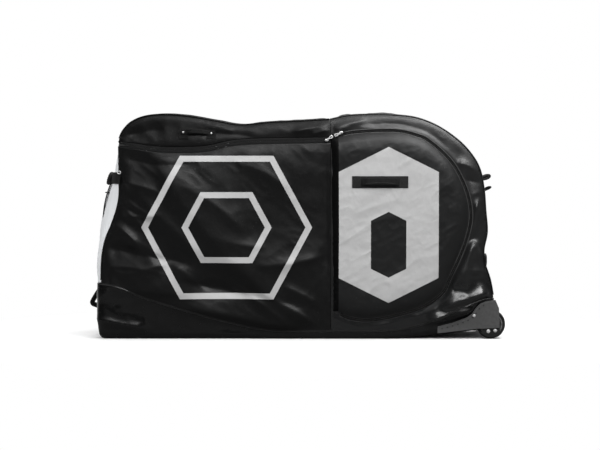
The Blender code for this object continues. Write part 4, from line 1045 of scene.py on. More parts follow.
def makeTub():
    # ring = plan moved out by the wall's depth; the foot is a quarter circle, the floor runs in to a line
    plan, outward = tubPlan()
    x, y = plan[:, 0], plan[:, 1]
    rim, floor = tubRim(x), tubFloor(x)
    spine = np.stack([np.clip(x, bodyLeft + halfDepth, rightEnd - halfDepth), 0 * y], axis=1)
    longSide = np.clip(np.abs(outward[:, 1]), 0.0, 1.0)
    rows = []
    footTop = floor + np.minimum(tub["foot"], (rim - floor) * 0.45)
    foot = footTop - floor
    for t in np.linspace(0.0, 1.0, tub["wallRows"]):
        z = rim + (footTop - rim) * t
        depth = np.where(y < 0, sideDepth(x, z, near), sideDepth(x, z, far))
        side = (depth + (rollIn(rimDistance(x, z)) - halfDepth)) * longSide
        end = tub["endCrease"] * crumple(y, z, 0.08, 151) * (1 - longSide) * np.sin(math.pi * t)
        end = end + tub["endBulge"] * (1 - longSide) * (x < 0) * (1 - t ** 4)
        rows.append(np.column_stack([plan + outward * (side + end)[:, None], z]))
    for angle in np.linspace(0.0, 0.5 * math.pi, tub["footRows"])[1:]:
        inset = foot * (1 - math.cos(angle))
        rows.append(np.column_stack([plan - outward * inset[:, None], footTop - foot * math.sin(angle)]))
    last = rows[-1][:, :2]
    for share in np.linspace(0.0, 1.0, tub["floorRows"])[1:]:
        spot = last + (spine - last) * share
        rows.append(np.column_stack([spot, tubFloor(spot[:, 0])]))
    shell = surface("tubCloth", np.stack(rows, axis=1), "tarp", (0, 0, -1), closedU=True, weld=True)
    openWells(shell)
    addWall(shell, tub["wall"])
    keepAboveFloor(shell)
    dress(shell, "root", "tarpaulin", "tub_skin")


def keepAboveFloor(piece):
    # no point lower than z = 0
    solid = keepResult(piece)
    points = np.empty(3 * len(solid.vertices))
    solid.vertices.foreach_get("co", points)
    points[2::3] = np.maximum(points[2::3], 0.0)
    solid.vertices.foreach_set("co", points)
    solid.update()


def openWells(shell):
    # leaves out what lies inside each wheel well and draws the cut edge onto its circle or its inner wall
    low, high, centre = boxOf("front_tyre")
    radius = (high[0] - low[0]) / 2 + tub["wellRoom"]
    innerY = -boxOf("front_corner_guard")[1][1] - 0.0002
    mesh = bmesh.new()
    mesh.from_mesh(shell.data)
    inside = []
    for face in mesh.faces:
        middle = face.calc_center_median()
        if math.hypot(middle.x - centre[0], middle.z - centre[2]) < radius and abs(middle.y) > innerY:
            inside.append(face)
    bmesh.ops.delete(mesh, geom=inside, context="FACES")
    for vert in mesh.verts:
        awayX, awayZ = vert.co.x - centre[0], vert.co.z - centre[2]
        flat = math.hypot(awayX, awayZ)
        if not vert.is_boundary or flat > radius + 0.02:
            continue
        if abs(flat - radius) < abs(abs(vert.co.y) - innerY):
            vert.co.x, vert.co.z = centre[0] + awayX * radius / flat, centre[2] + awayZ * radius / flat
        else:
            vert.co.y = math.copysign(innerY, vert.co.y)
    mesh.to_mesh(shell.data)
    mesh.free()


# The tub's rim is bound with a tape, stitched twice
rimTape = {"width": 0.0075, "thick": 0.0014, "lift": 0.0002, "stitchLift": 0.0010, "stitchShift": 0.0022}


def makeRimTape():
    for side, sign in sides:
        x = np.linspace(bodyLeft + 0.004, rightEnd - 0.006, 420)
        flat = np.stack([x, tubRim(x)], axis=1)
        tape = sweep(side + "RimTape", onSide(flat, sign, rimTape["lift"]), (0, sign, 0),
                     strapProfile(rimTape["width"], rimTape["thick"]), "binding")
        dress(tape, "root", "tarpaulin")
        for label, shift in (("A", rimTape["stitchShift"]), ("B", -rimTape["stitchShift"])):
            path = onSide(flat + (0, shift), sign, rimTape["stitchLift"])[3:-3]
            dress(stitchRow(side + "RimStitch" + label, path, (0, sign, 0)), "root", "tarpaulin")


# Wheel pocket: a raised printed door, the black surround it sits on and a gusset strip at its left
pocketLeft = place(pocketLeftShares)
pocketArc = smoothPath(place(pocketArcShares), 260)
pocketFoot = smoothPath(place(pocketFootShares), 130)
pocketOutline = np.concatenate([pocketLeft[:1], pocketArc, pocketFoot[1:-1]])
pocketCurve = np.concatenate([pocketArc, pocketFoot[1:]])
pocketMiddle = np.array([0.322, 0.362])
pocket = {"spokes": 420, "doorRings": 70, "surroundRings": 26, "stand": 0.0016, "rise": 0.0183,
          "shoulder": 0.020, "puff": 0.0035, "puffReach": 0.2, "crease": 0.0022, "creaseStep": 0.075,
          "wall": 0.0035, "inset": 0.0032, "overlap": 0.011, "sink": 0.0004}


def spokeRadius(loop, angles):
    # distance from the pocket's middle to a closed loop, at each angle
    away = evenPath(np.vstack([loop, loop[:1]]), 2400) - pocketMiddle
    turn = np.arctan2(away[:, 1], away[:, 0])
    order = np.argsort(turn)
    return np.interp(angles, turn[order], np.linalg.norm(away, axis=1)[order], period=2 * math.pi)


def loopAngles(*corners):
    # even angles about the pocket's middle, with one more at each corner
    turns = [math.atan2(z - pocketMiddle[1], x - pocketMiddle[0]) for x, z in corners]
    even = np.linspace(-math.pi, math.pi, pocket["spokes"], endpoint=False)
    return np.unique(np.concatenate([even, turns]))


def spokeGrid(angles, radii):
    # places in X and Z at those distances along each spoke
    spokes = np.stack([np.cos(angles), np.sin(angles)], axis=1)
    return pocketMiddle + spokes[:, None] * radii[:, :, None]


def doorHeight(points, sign):
    # full along the gusset strip, rounded down to the zip: rise * (1 - exp(-(distance / shoulder) ^ 1.3))
    away = curveDistance(points, pocketCurve)
    x, z = points[..., 0], points[..., 1]
    rounded = 1.0 - np.exp(-(away / pocket["shoulder"]) ** 1.3)
    creases = pocket["crease"] * crumple(x, z, pocket["creaseStep"], 211 if sign < 0 else 241, 0.5, 1.3)
    fromLeft = np.clip((x - pocketLeft[0, 0]) / pocket["puffReach"], 0.0, 0.5)
    puff = pocket["puff"] * easeIn(away, 0.0, 0.09) * np.sin(math.pi * fromLeft)
    return halfDepth + pocket["stand"] + pocket["rise"] * rounded + puff + creases * easeIn(away, 0.005, 0.06)


def onDoor(flat, sign, lift=0.0):
    return upright(flat, sign * (doorHeight(flat, sign) + lift))


def makeDoor(side, sign):
    # rings at shares of the outline's radius, set onto the door's raised face
    angles = loopAngles(*pocketLeft)
    radius = spokeRadius(pocketOutline, angles) - pocket["inset"]
    share = 1.0 - np.linspace(0.0, 1.0, pocket["doorRings"]) ** 1.5
    grid = onDoor(spokeGrid(angles, radius[:, None] * share), sign)
    # the door's cloth is written lighter than the body's: painted light
    door = surface(side + "PocketDoor", grid, "pocketCloth", (0, sign, 0), closedU=True, weld=True)
    dress(addWall(door, pocket["wall"]), side + "_door", "black_fabric", side + "_pocket_door")


def makeSurround(side, sign):
    # from under the door's edge out to the fold seam, the piped dome and the tub's rim
    rim = lookUp(smoothPath(place(tubRimShares), 400))
    left = foldX + gap
    dome = domeEdge[domeEdge[:, 1] > rim(domeEdge[:, 0]) + gap]
    leftTop, leftFoot = (left, np.interp(left, dome[:6, 0], dome[:6, 1])), (left, rim(left) + gap)
    x = np.linspace(left, rightEnd - 0.004, 200)[::-1]
    x = x[x < dome[-1, 0] - 0.002]
    bottom = np.stack([x, rim(x) + gap], axis=1)
    outer = np.concatenate([[leftFoot], [leftTop], dome[dome[:, 0] > left + 0.001], bottom])
    angles = loopAngles(leftFoot, leftTop, dome[-1], *pocketLeft)
    inside = spokeRadius(pocketOutline, angles)[:, None] - pocket["overlap"]
    outside = spokeRadius(outer, angles)[:, None]
    flat = spokeGrid(angles, inside + (outside - inside) * np.linspace(0.0, 1.0, pocket["surroundRings"]))
    level = easeIn(curveDistance(flat, pocketOutline), 0.006, 0.025)
    depth = halfDepth - pocket["sink"] + (sideDepth(flat[..., 0], flat[..., 1], sign) - halfDepth) * level
    grid = upright(flat, sign * depth)
    # the surround's cloth is written lighter than the body's: painted light
    surround = surface(side + "PocketSurround", grid, "yokeCloth", (0, sign, 0), closedU=True)
    dress(addWall(surround, pocket["wall"]), "root", "black_fabric", side + "_pocket_surround")


strip = {"left": 0.1056, "inset": 0.003, "end": 0.004, "rows": 150, "columns": 12, "foot": 0.0006,
         "sink": 0.0012, "wrinkle": 0.0016, "wall": 0.0018}


def makeHingeStrip(side, sign):
    # a ruled wall from the surround up to the door's left edge, pulled into small slanting wrinkles
    z = np.linspace(pocketLeft[0, 1] + strip["end"], pocketLeft[1, 1] - strip["end"], strip["rows"])
    top = np.stack([np.full_like(z, pocketLeft[0, 0] + strip["inset"]), z], axis=1)
    t = np.linspace(0.0, 1.0, strip["columns"])[None, :]
    x, z = strip["left"] + (top[:, :1] - strip["left"]) * t, z[:, None] + 0 * t
    foot = halfDepth + strip["foot"]
    y = foot + (doorHeight(top, sign)[:, None] - strip["sink"] - foot) * np.sin(t * math.pi / 2) ** 1.3
    wrinkles = strip["wrinkle"] * np.sin((z + 0.9 * x) * 300 + 2.5 * softNoise(x, z, 0.03, 261))
    wrinkles = wrinkles * (0.4 + 0.6 * softNoise(x, z, 0.05, 263))
    ends = np.sin(math.pi * np.linspace(0, 1, strip["rows"]))[:, None] ** 0.3
    grid = np.stack([x, sign * (y + wrinkles * np.sin(math.pi * t) ** 0.7 * ends), z], axis=2)
    # the strip's cloth is written nearly black: painted shade
    wall = surface(side + "PocketStrip", grid, "stripCloth", (-0.5, sign, 0))
    dress(addWall(wall, strip["wall"], lining=None), "root", "black_fabric", side + "_pocket_hinge_strip")


# Piping round the panels, and the rows of stitches beside it
trim = {"pipe": 0.0022, "out": 0.0006, "lift": 0.0008, "stitchIn": 0.0065, "stitchLift": 0.0001,
        "thread": 0.0003}


def makePiping(side, sign):
    # a round cord carried along each edge, and a row of stitches a step inside it
    out, y = (0, sign, 0), sign * (halfDepth - rollIn(0.0) + trim["lift"])
    # the lid's piping takes its darker cloth, painted shade, and the dome's piping the lighter one, painted
    # light
    for name, flat, body, look in (("LidPiping", lidEdge[2:-1], "lid", "lidCloth"),
                                   ("EndPiping", endOutline[2:-3], "root", "binding"),
                                   ("DomePiping", domeEdge[1:-2], "root", "yokeCloth")):
        path = evenPath(upright(sideStep(flat, -trim["out"]), y), max(60, len(flat)))
        dress(sweep(side + name, path, out, circle(trim["pipe"], 12), look), body, "black_fabric")
    for name, flat, body in (("LidStitches", lidEdge[6:-8], "lid"), ("DomeStitches", domeEdge[9:-12], "root"),
                             ("EndStitches", endOutline[6:-6], "root")):
        path = onSide(sideStep(flat, trim["stitchIn"]), sign, trim["stitchLift"])
        dress(stitchRow(side + name, path, out, radius=trim["thread"]), body, "black_fabric")


# Main zip round the lid: two tapes, a coil of teeth, two sliders with pulls
zipper = {"tape": 0.0078, "apart": 0.0002, "thick": 0.0014, "pitch": 0.0021,
          "tooth": (0.0011, 0.0030, 0.0016), "corner": 0.012, "steps": 760, "clear": 0.0002,
          "sink": 0.0002, "toothLift": 0.0006, "stitchOut": 1.95, "stitchLift": 0.0007}


def zipRoute(offset, lift=0.0):
    # near side, round the left end and along the far side, moved up or down by offset
    corner = zipper["corner"]
    left, middle = (curve(zipLine(bodyLeft)) - zipper["clear"] for curve in (endEdge, endMiddle))
    x = np.linspace(foldX - gap, left + corner, 300)
    nearRun, farRun = (onSide(np.stack([x, zipLine(x)], axis=1), sign, lift) for sign in (near, far))
    endZ, deep = nearRun[-1, 2], abs(nearRun[-1, 1]) - corner
    turn = np.linspace(0.0, 0.5 * math.pi, 12)[1:]
    turnX = left + corner * (1 - np.sin(turn)) - lift * np.sin(turn)
    firstTurn = np.stack([turnX, -(deep + corner * np.cos(turn)), np.full(11, endZ)], axis=1)
    y = np.linspace(-1.0, 1.0, 40)[1:-1] * deep
    bow = middle + (left - middle) * np.abs(y / deep) ** band["crown"] - lift
    cross = np.stack([bow, y, np.full(38, endZ)], axis=1)
    path = np.vstack([nearRun, firstTurn, cross, firstTurn[::-1] * (1, -1, 1), farRun[::-1]])
    path[:, 2] += offset
    return evenPath(path, zipper["steps"])


def routeOutward(path):
    # level and square to the path, on the side away from the middle
    along = headings(path)
    out = np.stack([along[:, 1], -along[:, 0], 0 * along[:, 0]], axis=1)
    return unit(out) * np.sign((out * path).sum(axis=1).mean())


def makeMainZip():
    # two flat tapes carried along the zip, one to each side of it, with the teeth between them
    for name, way in (("body", -1.0), ("lid", 1.0)):
        body = "lid" if name == "lid" else "root"
        offset = way * (zipper["tape"] / 2 + zipper["apart"])
        path = zipRoute(offset, zipper["sink"] - zipper["thick"] / 2)
        profile = strapProfile(zipper["tape"], zipper["thick"])
        tape = sweep(name + "ZipTape", path, routeOutward(path), profile, "zipTape")
        dress(tape, body, "zip_black", "main_zip_" + name + "_tape")
        path = zipRoute(offset * zipper["stitchOut"], zipper["stitchLift"])
        dress(stitchRow(name + "ZipTapeStitches", path[2:-2], routeOutward(path)[2:-2]), body, "zip_black")
    path = zipRoute(0.0, zipper["toothLift"])
    teeth = toothRow("mainZipTeeth", path, routeOutward(path), zipper["pitch"], zipper["tooth"])
    dress(teeth, "root", "zip_black")


slider = {"length": 0.0125, "nose": 0.0042, "tail": 0.0034, "thick": 0.0021, "bridge": 0.0011,
          "archReach": 0.0042, "archRise": 0.0021, "archSink": 0.0006}


def makeSlider(name, node, body, slope, sign):
    # a wedge body with a narrow bridge over it that holds the pull
    centre = boxOf(node)[2]
    along, up = unit(np.array([slope[0], 0.0, slope[1]])), np.array([0.0, sign, 0.0])
    t = np.linspace(-1.0, 1.0, 15)
    end = np.sqrt(np.maximum(0.0, 1 - np.abs(t) ** 5))
    width = (slider["tail"] + (slider["nose"] - slider["tail"]) * (t + 1) / 2) * end
    path = centre + along * (t * slider["length"] / 2)[:, None]
    shell = pillow(name, path, np.cross(along, up), up, width, slider["thick"] * end, "nickel")
    dress(shell, body, "nickel", node)
    t = np.linspace(-1.0, 1.0, 17)
    rise = slider["thick"] + slider["archRise"] * np.sqrt(1 - t ** 4) - slider["archSink"]
    arch = centre + along * (t * slider["archReach"])[:, None] + up * rise[:, None]
    dress(sweep(name + "Bridge", arch, up, circle(slider["bridge"]), "nickel"), body, "nickel")


# Each rim of a pull is its scale and its level; each eye its place, its radius and how far it is stretched
pull = {"width": 0.0096, "thick": 0.0018, "half": 0.0116,
        "rims": [(0.93, -1.0), (1.0, -0.55), (1.0, 0.55), (0.93, 1.0)],
        "eyes": [(-0.0078, 0.0017, 1.0), (0.0052, 0.0014, 2.6)]}


def pullOutline():
    # round at the slider, then a narrow neck and a wider grip
    t = np.linspace(-1.0, 1.0, 41)
    wide = np.where(t < -0.45, np.sqrt(np.clip(1 - ((t + 0.72) / 0.29) ** 2, 0, 1)) * 0.78, 0.0)
    wide = np.maximum(wide, 0.5 + 0.5 * easeIn(t, -0.35, 0.35))
    wide = wide * np.sqrt(np.clip(1 - np.maximum(0, (np.abs(t) - 0.86) / 0.14) ** 2, 0, 1))
    upper = np.stack([t * pull["half"], wide * pull["width"] / 2], axis=1)
    return np.concatenate([upper, upper[::-1][1:-1] * (1, -1)])


def makePull(name, node, body, slope, sign):
    # a flat tab with both eyes cut through
    centre, along = boxOf(node)[2], unit(np.array([slope[0], 0.0, slope[1]]))
    across = np.array([-along[2], 0.0, along[0]])
    outline = pullOutline()
    flat = along * outline[:, :1] + across * outline[:, 1:]
    rims = [centre + flat * scale + (0, sign * level * pull["thick"] / 2, 0) for scale, level in pull["rims"]]
    tab = mendMesh(surface(name, np.stack(rims), "nickel", closedV=True), close=True)
    for spot, radius, stretch in pull["eyes"]:
        loop = circle(radius, 24) * (stretch, 1)
        eye = centre + along * (spot + loop[:, :1]) + across * loop[:, 1:]
        walls = np.stack([eye - (0, 0.004, 0), eye + (0, 0.004, 0)])
        carve(tab, mendMesh(surface("eyeCutter", walls, "nickel", closedV=True), close=True))
    dress(creaseEdges(tab, 35), body, "nickel", node)


def makeSliders(side, sign):
    for name, node, body, run, hang in (
            ("Main", "main_zip_" + side, "main_" + side, (1.0, 0.02), (1.0, 0.72)),
            ("Pocket", side + "_pocket", side + "_pocket", (1.0, 0.25), (-0.90, -0.44))):
        makeSlider(side + name + "Slider", node + "_slider", body + "_slider", run, sign)
        makePull(side + name + "Pull", node + "_pull", body + "_pull", hang, sign)


# Wheel pocket's zip: tape, teeth, the door's piped edge with its stitches, and a welt outside. Both cords
# are thinner low down, and are written pale on the black piping as painted highlight lines.
pocketZip = {"tape": (0.0105, 0.0012), "lift": 0.0009, "pitch": 0.0021, "tooth": (0.0011, 0.0026, 0.0014),
             "toothShift": -0.0008, "toothLift": 0.0018, "cord": 0.0016, "thinner": 0.8, "pipeShift": 0.0045,
             "pipeLift": 0.0002, "stitchShift": 0.0095, "stitchLift": 0.0003, "weltShift": -0.0072,
             "weltLift": 0.0008}


def makePocketZip(side, sign):
    # tape, teeth, cords and stitches follow the D curve, each stepped sideways from it
    out, body = (0, sign, 0), side + "_door"
    curve = evenPath(pocketCurve, 520)[4:-4]
    path = upright(curve, sign * (halfDepth + pocketZip["lift"]))
    tape = sweep(side + "PocketTape", path, out, strapProfile(*pocketZip["tape"]), "webbing")
    dress(tape, "root", "zip_black", side + "_pocket_zip_tape")
    path = upright(sideStep(curve, pocketZip["toothShift"]), sign * (halfDepth + pocketZip["toothLift"]))
    teeth = toothRow(side + "PocketTeeth", path, out, pocketZip["pitch"], pocketZip["tooth"])
    dress(teeth, "root", "zip_black")
    thin = 1.0 - pocketZip["thinner"] * easeIn(np.linspace(0.0, 1.0, len(curve)), 0.58, 0.68)
    cord = circle(pocketZip["cord"]) * thin[:, None, None]
    path = onDoor(sideStep(curve, pocketZip["pipeShift"]), sign, pocketZip["pipeLift"])
    dress(sweep(side + "DoorPiping", path[3:-3], out, cord[3:-3], "weltCord"), body, "black_fabric")
    path = onDoor(sideStep(curve, pocketZip["stitchShift"])[4:-4], sign, pocketZip["stitchLift"])
    dress(stitchRow(side + "DoorStitches", path, out), body, "black_fabric")
    outer = sideStep(curve, pocketZip["weltShift"])
    shown = outer[:, 0] > foldX + 0.004
    path = upright(outer, sign * (halfDepth + pocketZip["weltLift"]))
    dress(sweep(side + "PocketWelt", path[shown], out, cord[shown], "weltCord"), "root", "black_fabric")


# Divider behind each door: a padded sleeve quilted in diamonds
divider = {"rise": 0.004, "quilt": 0.085, "wall": 0.0035, "inset": 0.001, "rings": 60, "slope": 0.035,
           "drop": 0.0062, "room": 0.0015}


def makeDivider(side, sign):
    # spokes as on the door: an eased slope to the foot, quilted by the root of two crossed sines
    angles = loopAngles(*pocketLeft)
    radius = spokeRadius(pocketOutline, angles)[:, None] - divider["inset"]
    share = np.linspace(1.0, 0.0, divider["rings"])
    flat = spokeGrid(angles, radius * share)
    low, high, _ = boxOf(side + "_pocket_divider")
    top = halfDepth - divider["drop"]
    foot = min(abs(low[1]), abs(high[1])) + divider["room"] + divider["rise"]
    slope = easeIn((1.0 - share) * radius, 0.0, divider["slope"])
    a, b = ((flat[..., 0] + way * flat[..., 1]) * math.pi / divider["quilt"] for way in (1, -1))
    quilt = divider["rise"] * (np.abs(np.sin(a)) * np.abs(np.sin(b))) ** 0.5 * slope
    grid = upright(flat, sign * (top - (top - foot) * slope - divider["rise"] + quilt))
    pad = surface(side + "Divider", grid, "liningCloth", (0, sign, 0), closedU=True, weld=True)
    dress(addWall(pad, divider["wall"]), "root", "black_fabric", side + "_pocket_divider")


# Handles, patches and their box stitches
def boxStitch(name, corners, toSurface, outward, body):
    # a rectangle of stitches with a cross in it
    (x0, z0), (x1, z1) = corners
    loop = np.array([(x0, z0), (x1, z0), (x1, z1), (x0, z1), (x0, z0), (x1, z1), (x0, z1), (x1, z0)], float)
    for part, k in enumerate((0, 1, 2, 3, 4, 6)):
        path = toSurface(evenPath(loop[k:k + 2], 12))
        dress(stitchRow(name + str(part), path, outward, *stitch["short"], 0.00045), body, "webbing")


def patch(name, corners, toSurface, sign, thick, look, body):
    # a flat piece of webbing laid on a surface, with rounded edges
    (x0, z0), (x1, z1) = corners
    x = np.linspace(x0, x1, max(12, int((x1 - x0) / 0.004)))
    profile = strapProfile(z1 - z0, thick)
    flat = np.stack([np.repeat(x, len(profile)), (z0 + z1) / 2 + np.tile(profile[:, 0], len(x))], axis=1)
    grid = toSurface(flat).reshape(len(x), len(profile), 3)
    grid[..., 1] += sign * (profile[:, 1] + thick / 2)
    piece = mendMesh(surface(name, grid, look, closedV=True), close=True)
    dress(creaseEdges(piece, 50), body, "webbing")


def makeRivet(name, spot, sign, y, radius, height, body, *nodes):
    # a domed head: radius * cos(angle) out and height * sin(angle) up, on a thin flange
    turn, flange = np.linspace(0.5 * math.pi, 0.0, 8), y + height * 0.25
    dome = np.stack([radius * 0.82 * np.cos(turn), flange + height * 0.75 * np.sin(turn)], axis=1)
    dome[0, 0] = 0.0
    profile = np.concatenate([dome, [(radius, flange), (radius, y), (0.0, y)]]) * (1, sign)
    dress(lathe(name, profile, spot, "nickel", count=28), body, "nickel", *nodes)


lidHandle = {"strap": (0.0138, 0.0028), "ends": (0.6530, 0.6495), "rise": 0.0062, "proud": 0.0085,
             "lift": 0.0030, "patch": 0.030, "patchZ": (0.633, 0.6625), "patchThick": 0.0015,
             "patchIn": 0.006, "rivetZ": (0.6545, 0.6515), "rivetLift": 0.0043, "rivet": (0.0033, 0.0016)}


def makeLidHandle(side, sign):
    # strap along a sine arch on the yoke, eased off the cloth between its ends
    low, high, _ = boxOf("lid_" + side + "_handle")
    t, (first, last) = np.linspace(0.0, 1.0, 44), lidHandle["ends"]
    x = low[0] + 0.001 + (high[0] - low[0] - 0.002) * t
    z = first + (last - first) * t + lidHandle["rise"] * np.sin(math.pi * t) ** 0.8
    lift = lidHandle["lift"] + lidHandle["proud"] * easeIn(t, 0.09, 0.34) * easeIn(-t, -0.91, -0.66)
    path = onSide(np.stack([x, z], axis=1), sign, lift)
    strap = sweep(side + "LidHandle", path, (0, sign, 0.15), strapProfile(*lidHandle["strap"]), "webbing")
    dress(strap, "lid", "webbing", "lid_" + side + "_handle")
    ends = (low[0] + lidHandle["patchIn"], high[0] - lidHandle["patchIn"])
    for name, x, rivetZ in zip("AB", ends, lidHandle["rivetZ"]):
        foot, head = lidHandle["patchZ"]
        corners = ((x - lidHandle["patch"] / 2, foot), (x + lidHandle["patch"] / 2, head))
        patch(side + "LidPatch" + name, corners, lambda flat: onSide(flat, sign, 0.0002), sign,
              lidHandle["patchThick"], "webbing", "lid")
        y = float(sideDepth(x, rivetZ, sign)) + lidHandle["rivetLift"]
        makeRivet(side + "LidRivet" + name, (x, rivetZ), sign, y, *lidHandle["rivet"], "lid")


doorHandle = {"patch": ((0.1714, 0.4785), (0.3478, 0.5160)), "patchLift": 0.0004, "patchThick": 0.0018,
              "strap": (0.0225, 0.0024), "lift": 0.0036, "proud": 0.0055, "rise": 0.0015, "from": 0.2003,
              "to": 0.3197, "z": 0.4975, "lip": 0.0014, "lipAt": (0.0014, -0.0088), "lipRise": 0.0044,
              "box": (0.4830, 0.5115), "boxLift": 0.0026,
              "boxes": [("A", 0.176, 0.1985), ("B", 0.3215, 0.344)], "bar": (0.4875, 0.5075),
              "barLift": 0.0052, "bars": [("C", 0.2055), ("D", 0.3145)]}


def makeDoorHandle(side, sign):
    # level strap lifted between its ends by a hump, with a thin fold along it in pale webbing: a painted
    # highlight on its lower edge
    out, body = (0, sign, 0), side + "_door"
    patch(side + "HandlePatch", doorHandle["patch"], lambda flat: onDoor(flat, sign, doorHandle["patchLift"]),
          sign, doorHandle["patchThick"], "patchWeb", body)
    t = np.linspace(0.0, 1.0, 60)
    x = doorHandle["from"] + (doorHandle["to"] - doorHandle["from"]) * t
    path = onDoor(np.stack([x, np.full_like(x, doorHandle["z"])], axis=1), sign, doorHandle["lift"])
    path = path + hump(t, 0.17)[:, None] * (0.0, sign * doorHandle["proud"], doorHandle["rise"])
    strap = sweep(side + "DoorHandle", path, (0, sign, 0.1), strapProfile(*doorHandle["strap"]), "webbing")
    dress(strap, body, "webbing", side + "_door_handle")
    proud, drop = doorHandle["lipAt"]
    # the fold's pale cord is a painted highlight
    fold = path + (0.0, sign * proud, drop) + np.sin(math.pi * t)[:, None] * (0, 0, doorHandle["lipRise"])
    lip = sweep(side + "HandleFold", fold[6:-6], out, circle(doorHandle["lip"]), "patchWeb")
    dress(lip, body, "webbing")
    foot, head = doorHandle["box"]
    for name, left, right in doorHandle["boxes"]:
        boxStitch(side + "HandleBox" + name, ((left, foot), (right, head)),
                  lambda flat: onDoor(flat, sign, doorHandle["boxLift"]), out, body)
    foot, head = doorHandle["bar"]
    for name, x in doorHandle["bars"]:
        path = evenPath(onDoor(np.array([(x, foot), (x, head)]), sign, doorHandle["barLift"]), 12)
        dress(stitchRow(side + "HandleBar" + name, path, out, *stitch["short"]), body, "webbing")


# Straps and buckles across the two ends
domeMiddleX, domeEdgeX = lookUp(domeMiddle[150:], 1), lookUp(domeEdge[150:], 1)


def acrossBand(y, z, middle, edge):
    # x of a band there: middle + (edge - middle) * |share of its half width| ^ crown
    return middle(z) + (edge(z) - middle(z)) * (np.abs(y) / bandHalf) ** band["crown"]


def endSurface(y, z):
    return acrossBand(y, z, endMiddle, endEdge)


def tailSurface(y, z):
    return acrossBand(y, z, domeMiddleX, domeEdgeX)


endTilt = float((endSurface(0.0, endStrapZ - 0.02) - endSurface(0.0, endStrapZ + 0.02)) / 0.04)
endStrap = {"width": 0.0375, "thick": 0.0022, "lift": 0.0016, "pull": 0.0012, "stitchOut": 0.42, "steps": 44,
            "endReach": (0.1212, 0.012), "tailReach": (0.1200, 0.012)}
eyelet = {"x": -0.5640, "y": -0.1250, "z": 0.5275, "radius": 0.0046, "wire": 0.0014}


def acrossStrap(name, node, x, y, z, out):
    # webbing carried across the end at one height, with stitches near each edge
    width, thick = endStrap["width"], endStrap["thick"]
    path = np.stack([x, y, np.full(len(y), z)], axis=1)
    dress(sweep(name, path, out, strapProfile(width, thick), "webbing"), "root", "webbing", node)
    for label, way in (("Upper", 1.0), ("Lower", -1.0)):
        route = path[2:-2] + (0, 0, way * width * endStrap["stitchOut"]) + out * thick * 0.5
        dress(stitchRow(name + label, route, out), "root", "webbing")


def makeStraps():
    # the near end strap is sewn into the piped edge with a small eyelet above it
    endOut, tailOut = unit(np.array((-1.0, 0.0, 0.12))), unit(np.array((1.0, 0.0, 0.05)))
    lift = endStrap["lift"]
    for side, sign in sides:
        y = sign * np.linspace(*endStrap["endReach"], endStrap["steps"])
        x = endSurface(y, endStrapZ) - lift - endStrap["pull"] * easeIn(0.115 - np.abs(y), 0.0, 0.02)
        acrossStrap("endStrap" + side, "end_strap_" + side, x, y, endStrapZ, endOut)
        y = sign * np.linspace(*endStrap["tailReach"], endStrap["steps"])
        x = tailSurface(y, tailStrapZ) + lift
        acrossStrap("tailStrap" + side, "tail_strap_" + side, x, y, tailStrapZ, tailOut)
    loop = upright(circle(eyelet["radius"], 40) + (eyelet["x"], eyelet["z"]), eyelet["y"])
    ring = sweep("endEyelet", loop, (0, -1, 0), circle(eyelet["wire"]), "nickel", closed=True)
    dress(ring, "root", "nickel")


buckle = {"wide": 0.0215, "endThick": 0.0095, "tailThick": 0.0062, "plugIn": 0.0165, "rib": 0.0009,
          "rail": 0.0008, "ribs": [("A", -0.006), ("B", 0.0), ("C", 0.006)],
          "rails": [("A", 0.35), ("B", -0.35)], "lobe": (0.0034, 0.0046),
          "lobeShape": (0.02, 0.8, 1, 1, 0.8, 0.02),
          "tongue": (0.0105, 0.0022), "tongueLength": 0.0150}


def rounded(share):
    # 1 up to 0, then down to 0 at 1: sqrt(1 - share ^ 2.5)
    return np.sqrt(1 - np.clip(share, 0, 1) ** 2.5)


def buckleShell(end, part, body, rise, face):
    # a lofted shell with rounded ends, waisted on the socket; its middle line and its height come back
    node, thick = end + "_buckle_" + part, buckle[end + "Thick"]
    low, high, middle = boxOf(node)
    start, stop = (low[1], high[1]) if part == "socket" else (high[1], low[1] + buckle["plugIn"])
    t = np.linspace(0.0, 1.0, 26)
    path = np.stack([np.full(26, middle[0]), start + (stop - start) * t, np.full(26, middle[2])], axis=1)
    ends = np.maximum(rounded((0.10 - t) / 0.10) * rounded((t - 0.93) / 0.07), 0.02)
    waist = 1.0 - 0.14 * np.sin(math.pi * t) ** 2 if part == "socket" else 0.80 + 0.20 * t
    tall = thick * (0.82 + 0.18 * np.sin(math.pi * t)) * ends
    name = end + part.capitalize() + "Shell"
    shell = pillow(name, path, rise, face, buckle["wide"] * waist * ends, tall, "blackPlastic", 28)
    dress(shell, body, "black_plastic", node)
    return path, tall


def makeSocket(end, rise, face):
    # two lobes at its sides and three ribs on its face
    path, _ = buckleShell(end, "socket", "root", rise, face)
    shape = np.array(buckle["lobeShape"])
    for label, way in (("A", 1.0), ("B", -1.0)):
        spot = path[7:18:2] + rise * way * buckle["wide"] * 0.86
        wide, tall = buckle["lobe"]
        lobe = pillow(end + "Lobe" + label, spot, rise, face, shape * wide, shape * tall, "blackPlastic", 14)
        dress(lobe, "root", "black_plastic")
    ridge = path[8:18] + face * (buckle[end + "Thick"] * 0.97)
    for label, shift in buckle["ribs"]:
        rib = sweep(end + "Rib" + label, ridge + rise * shift, face, circle(buckle["rib"], 8), "blackPlastic")
        dress(rib, "root", "black_plastic")


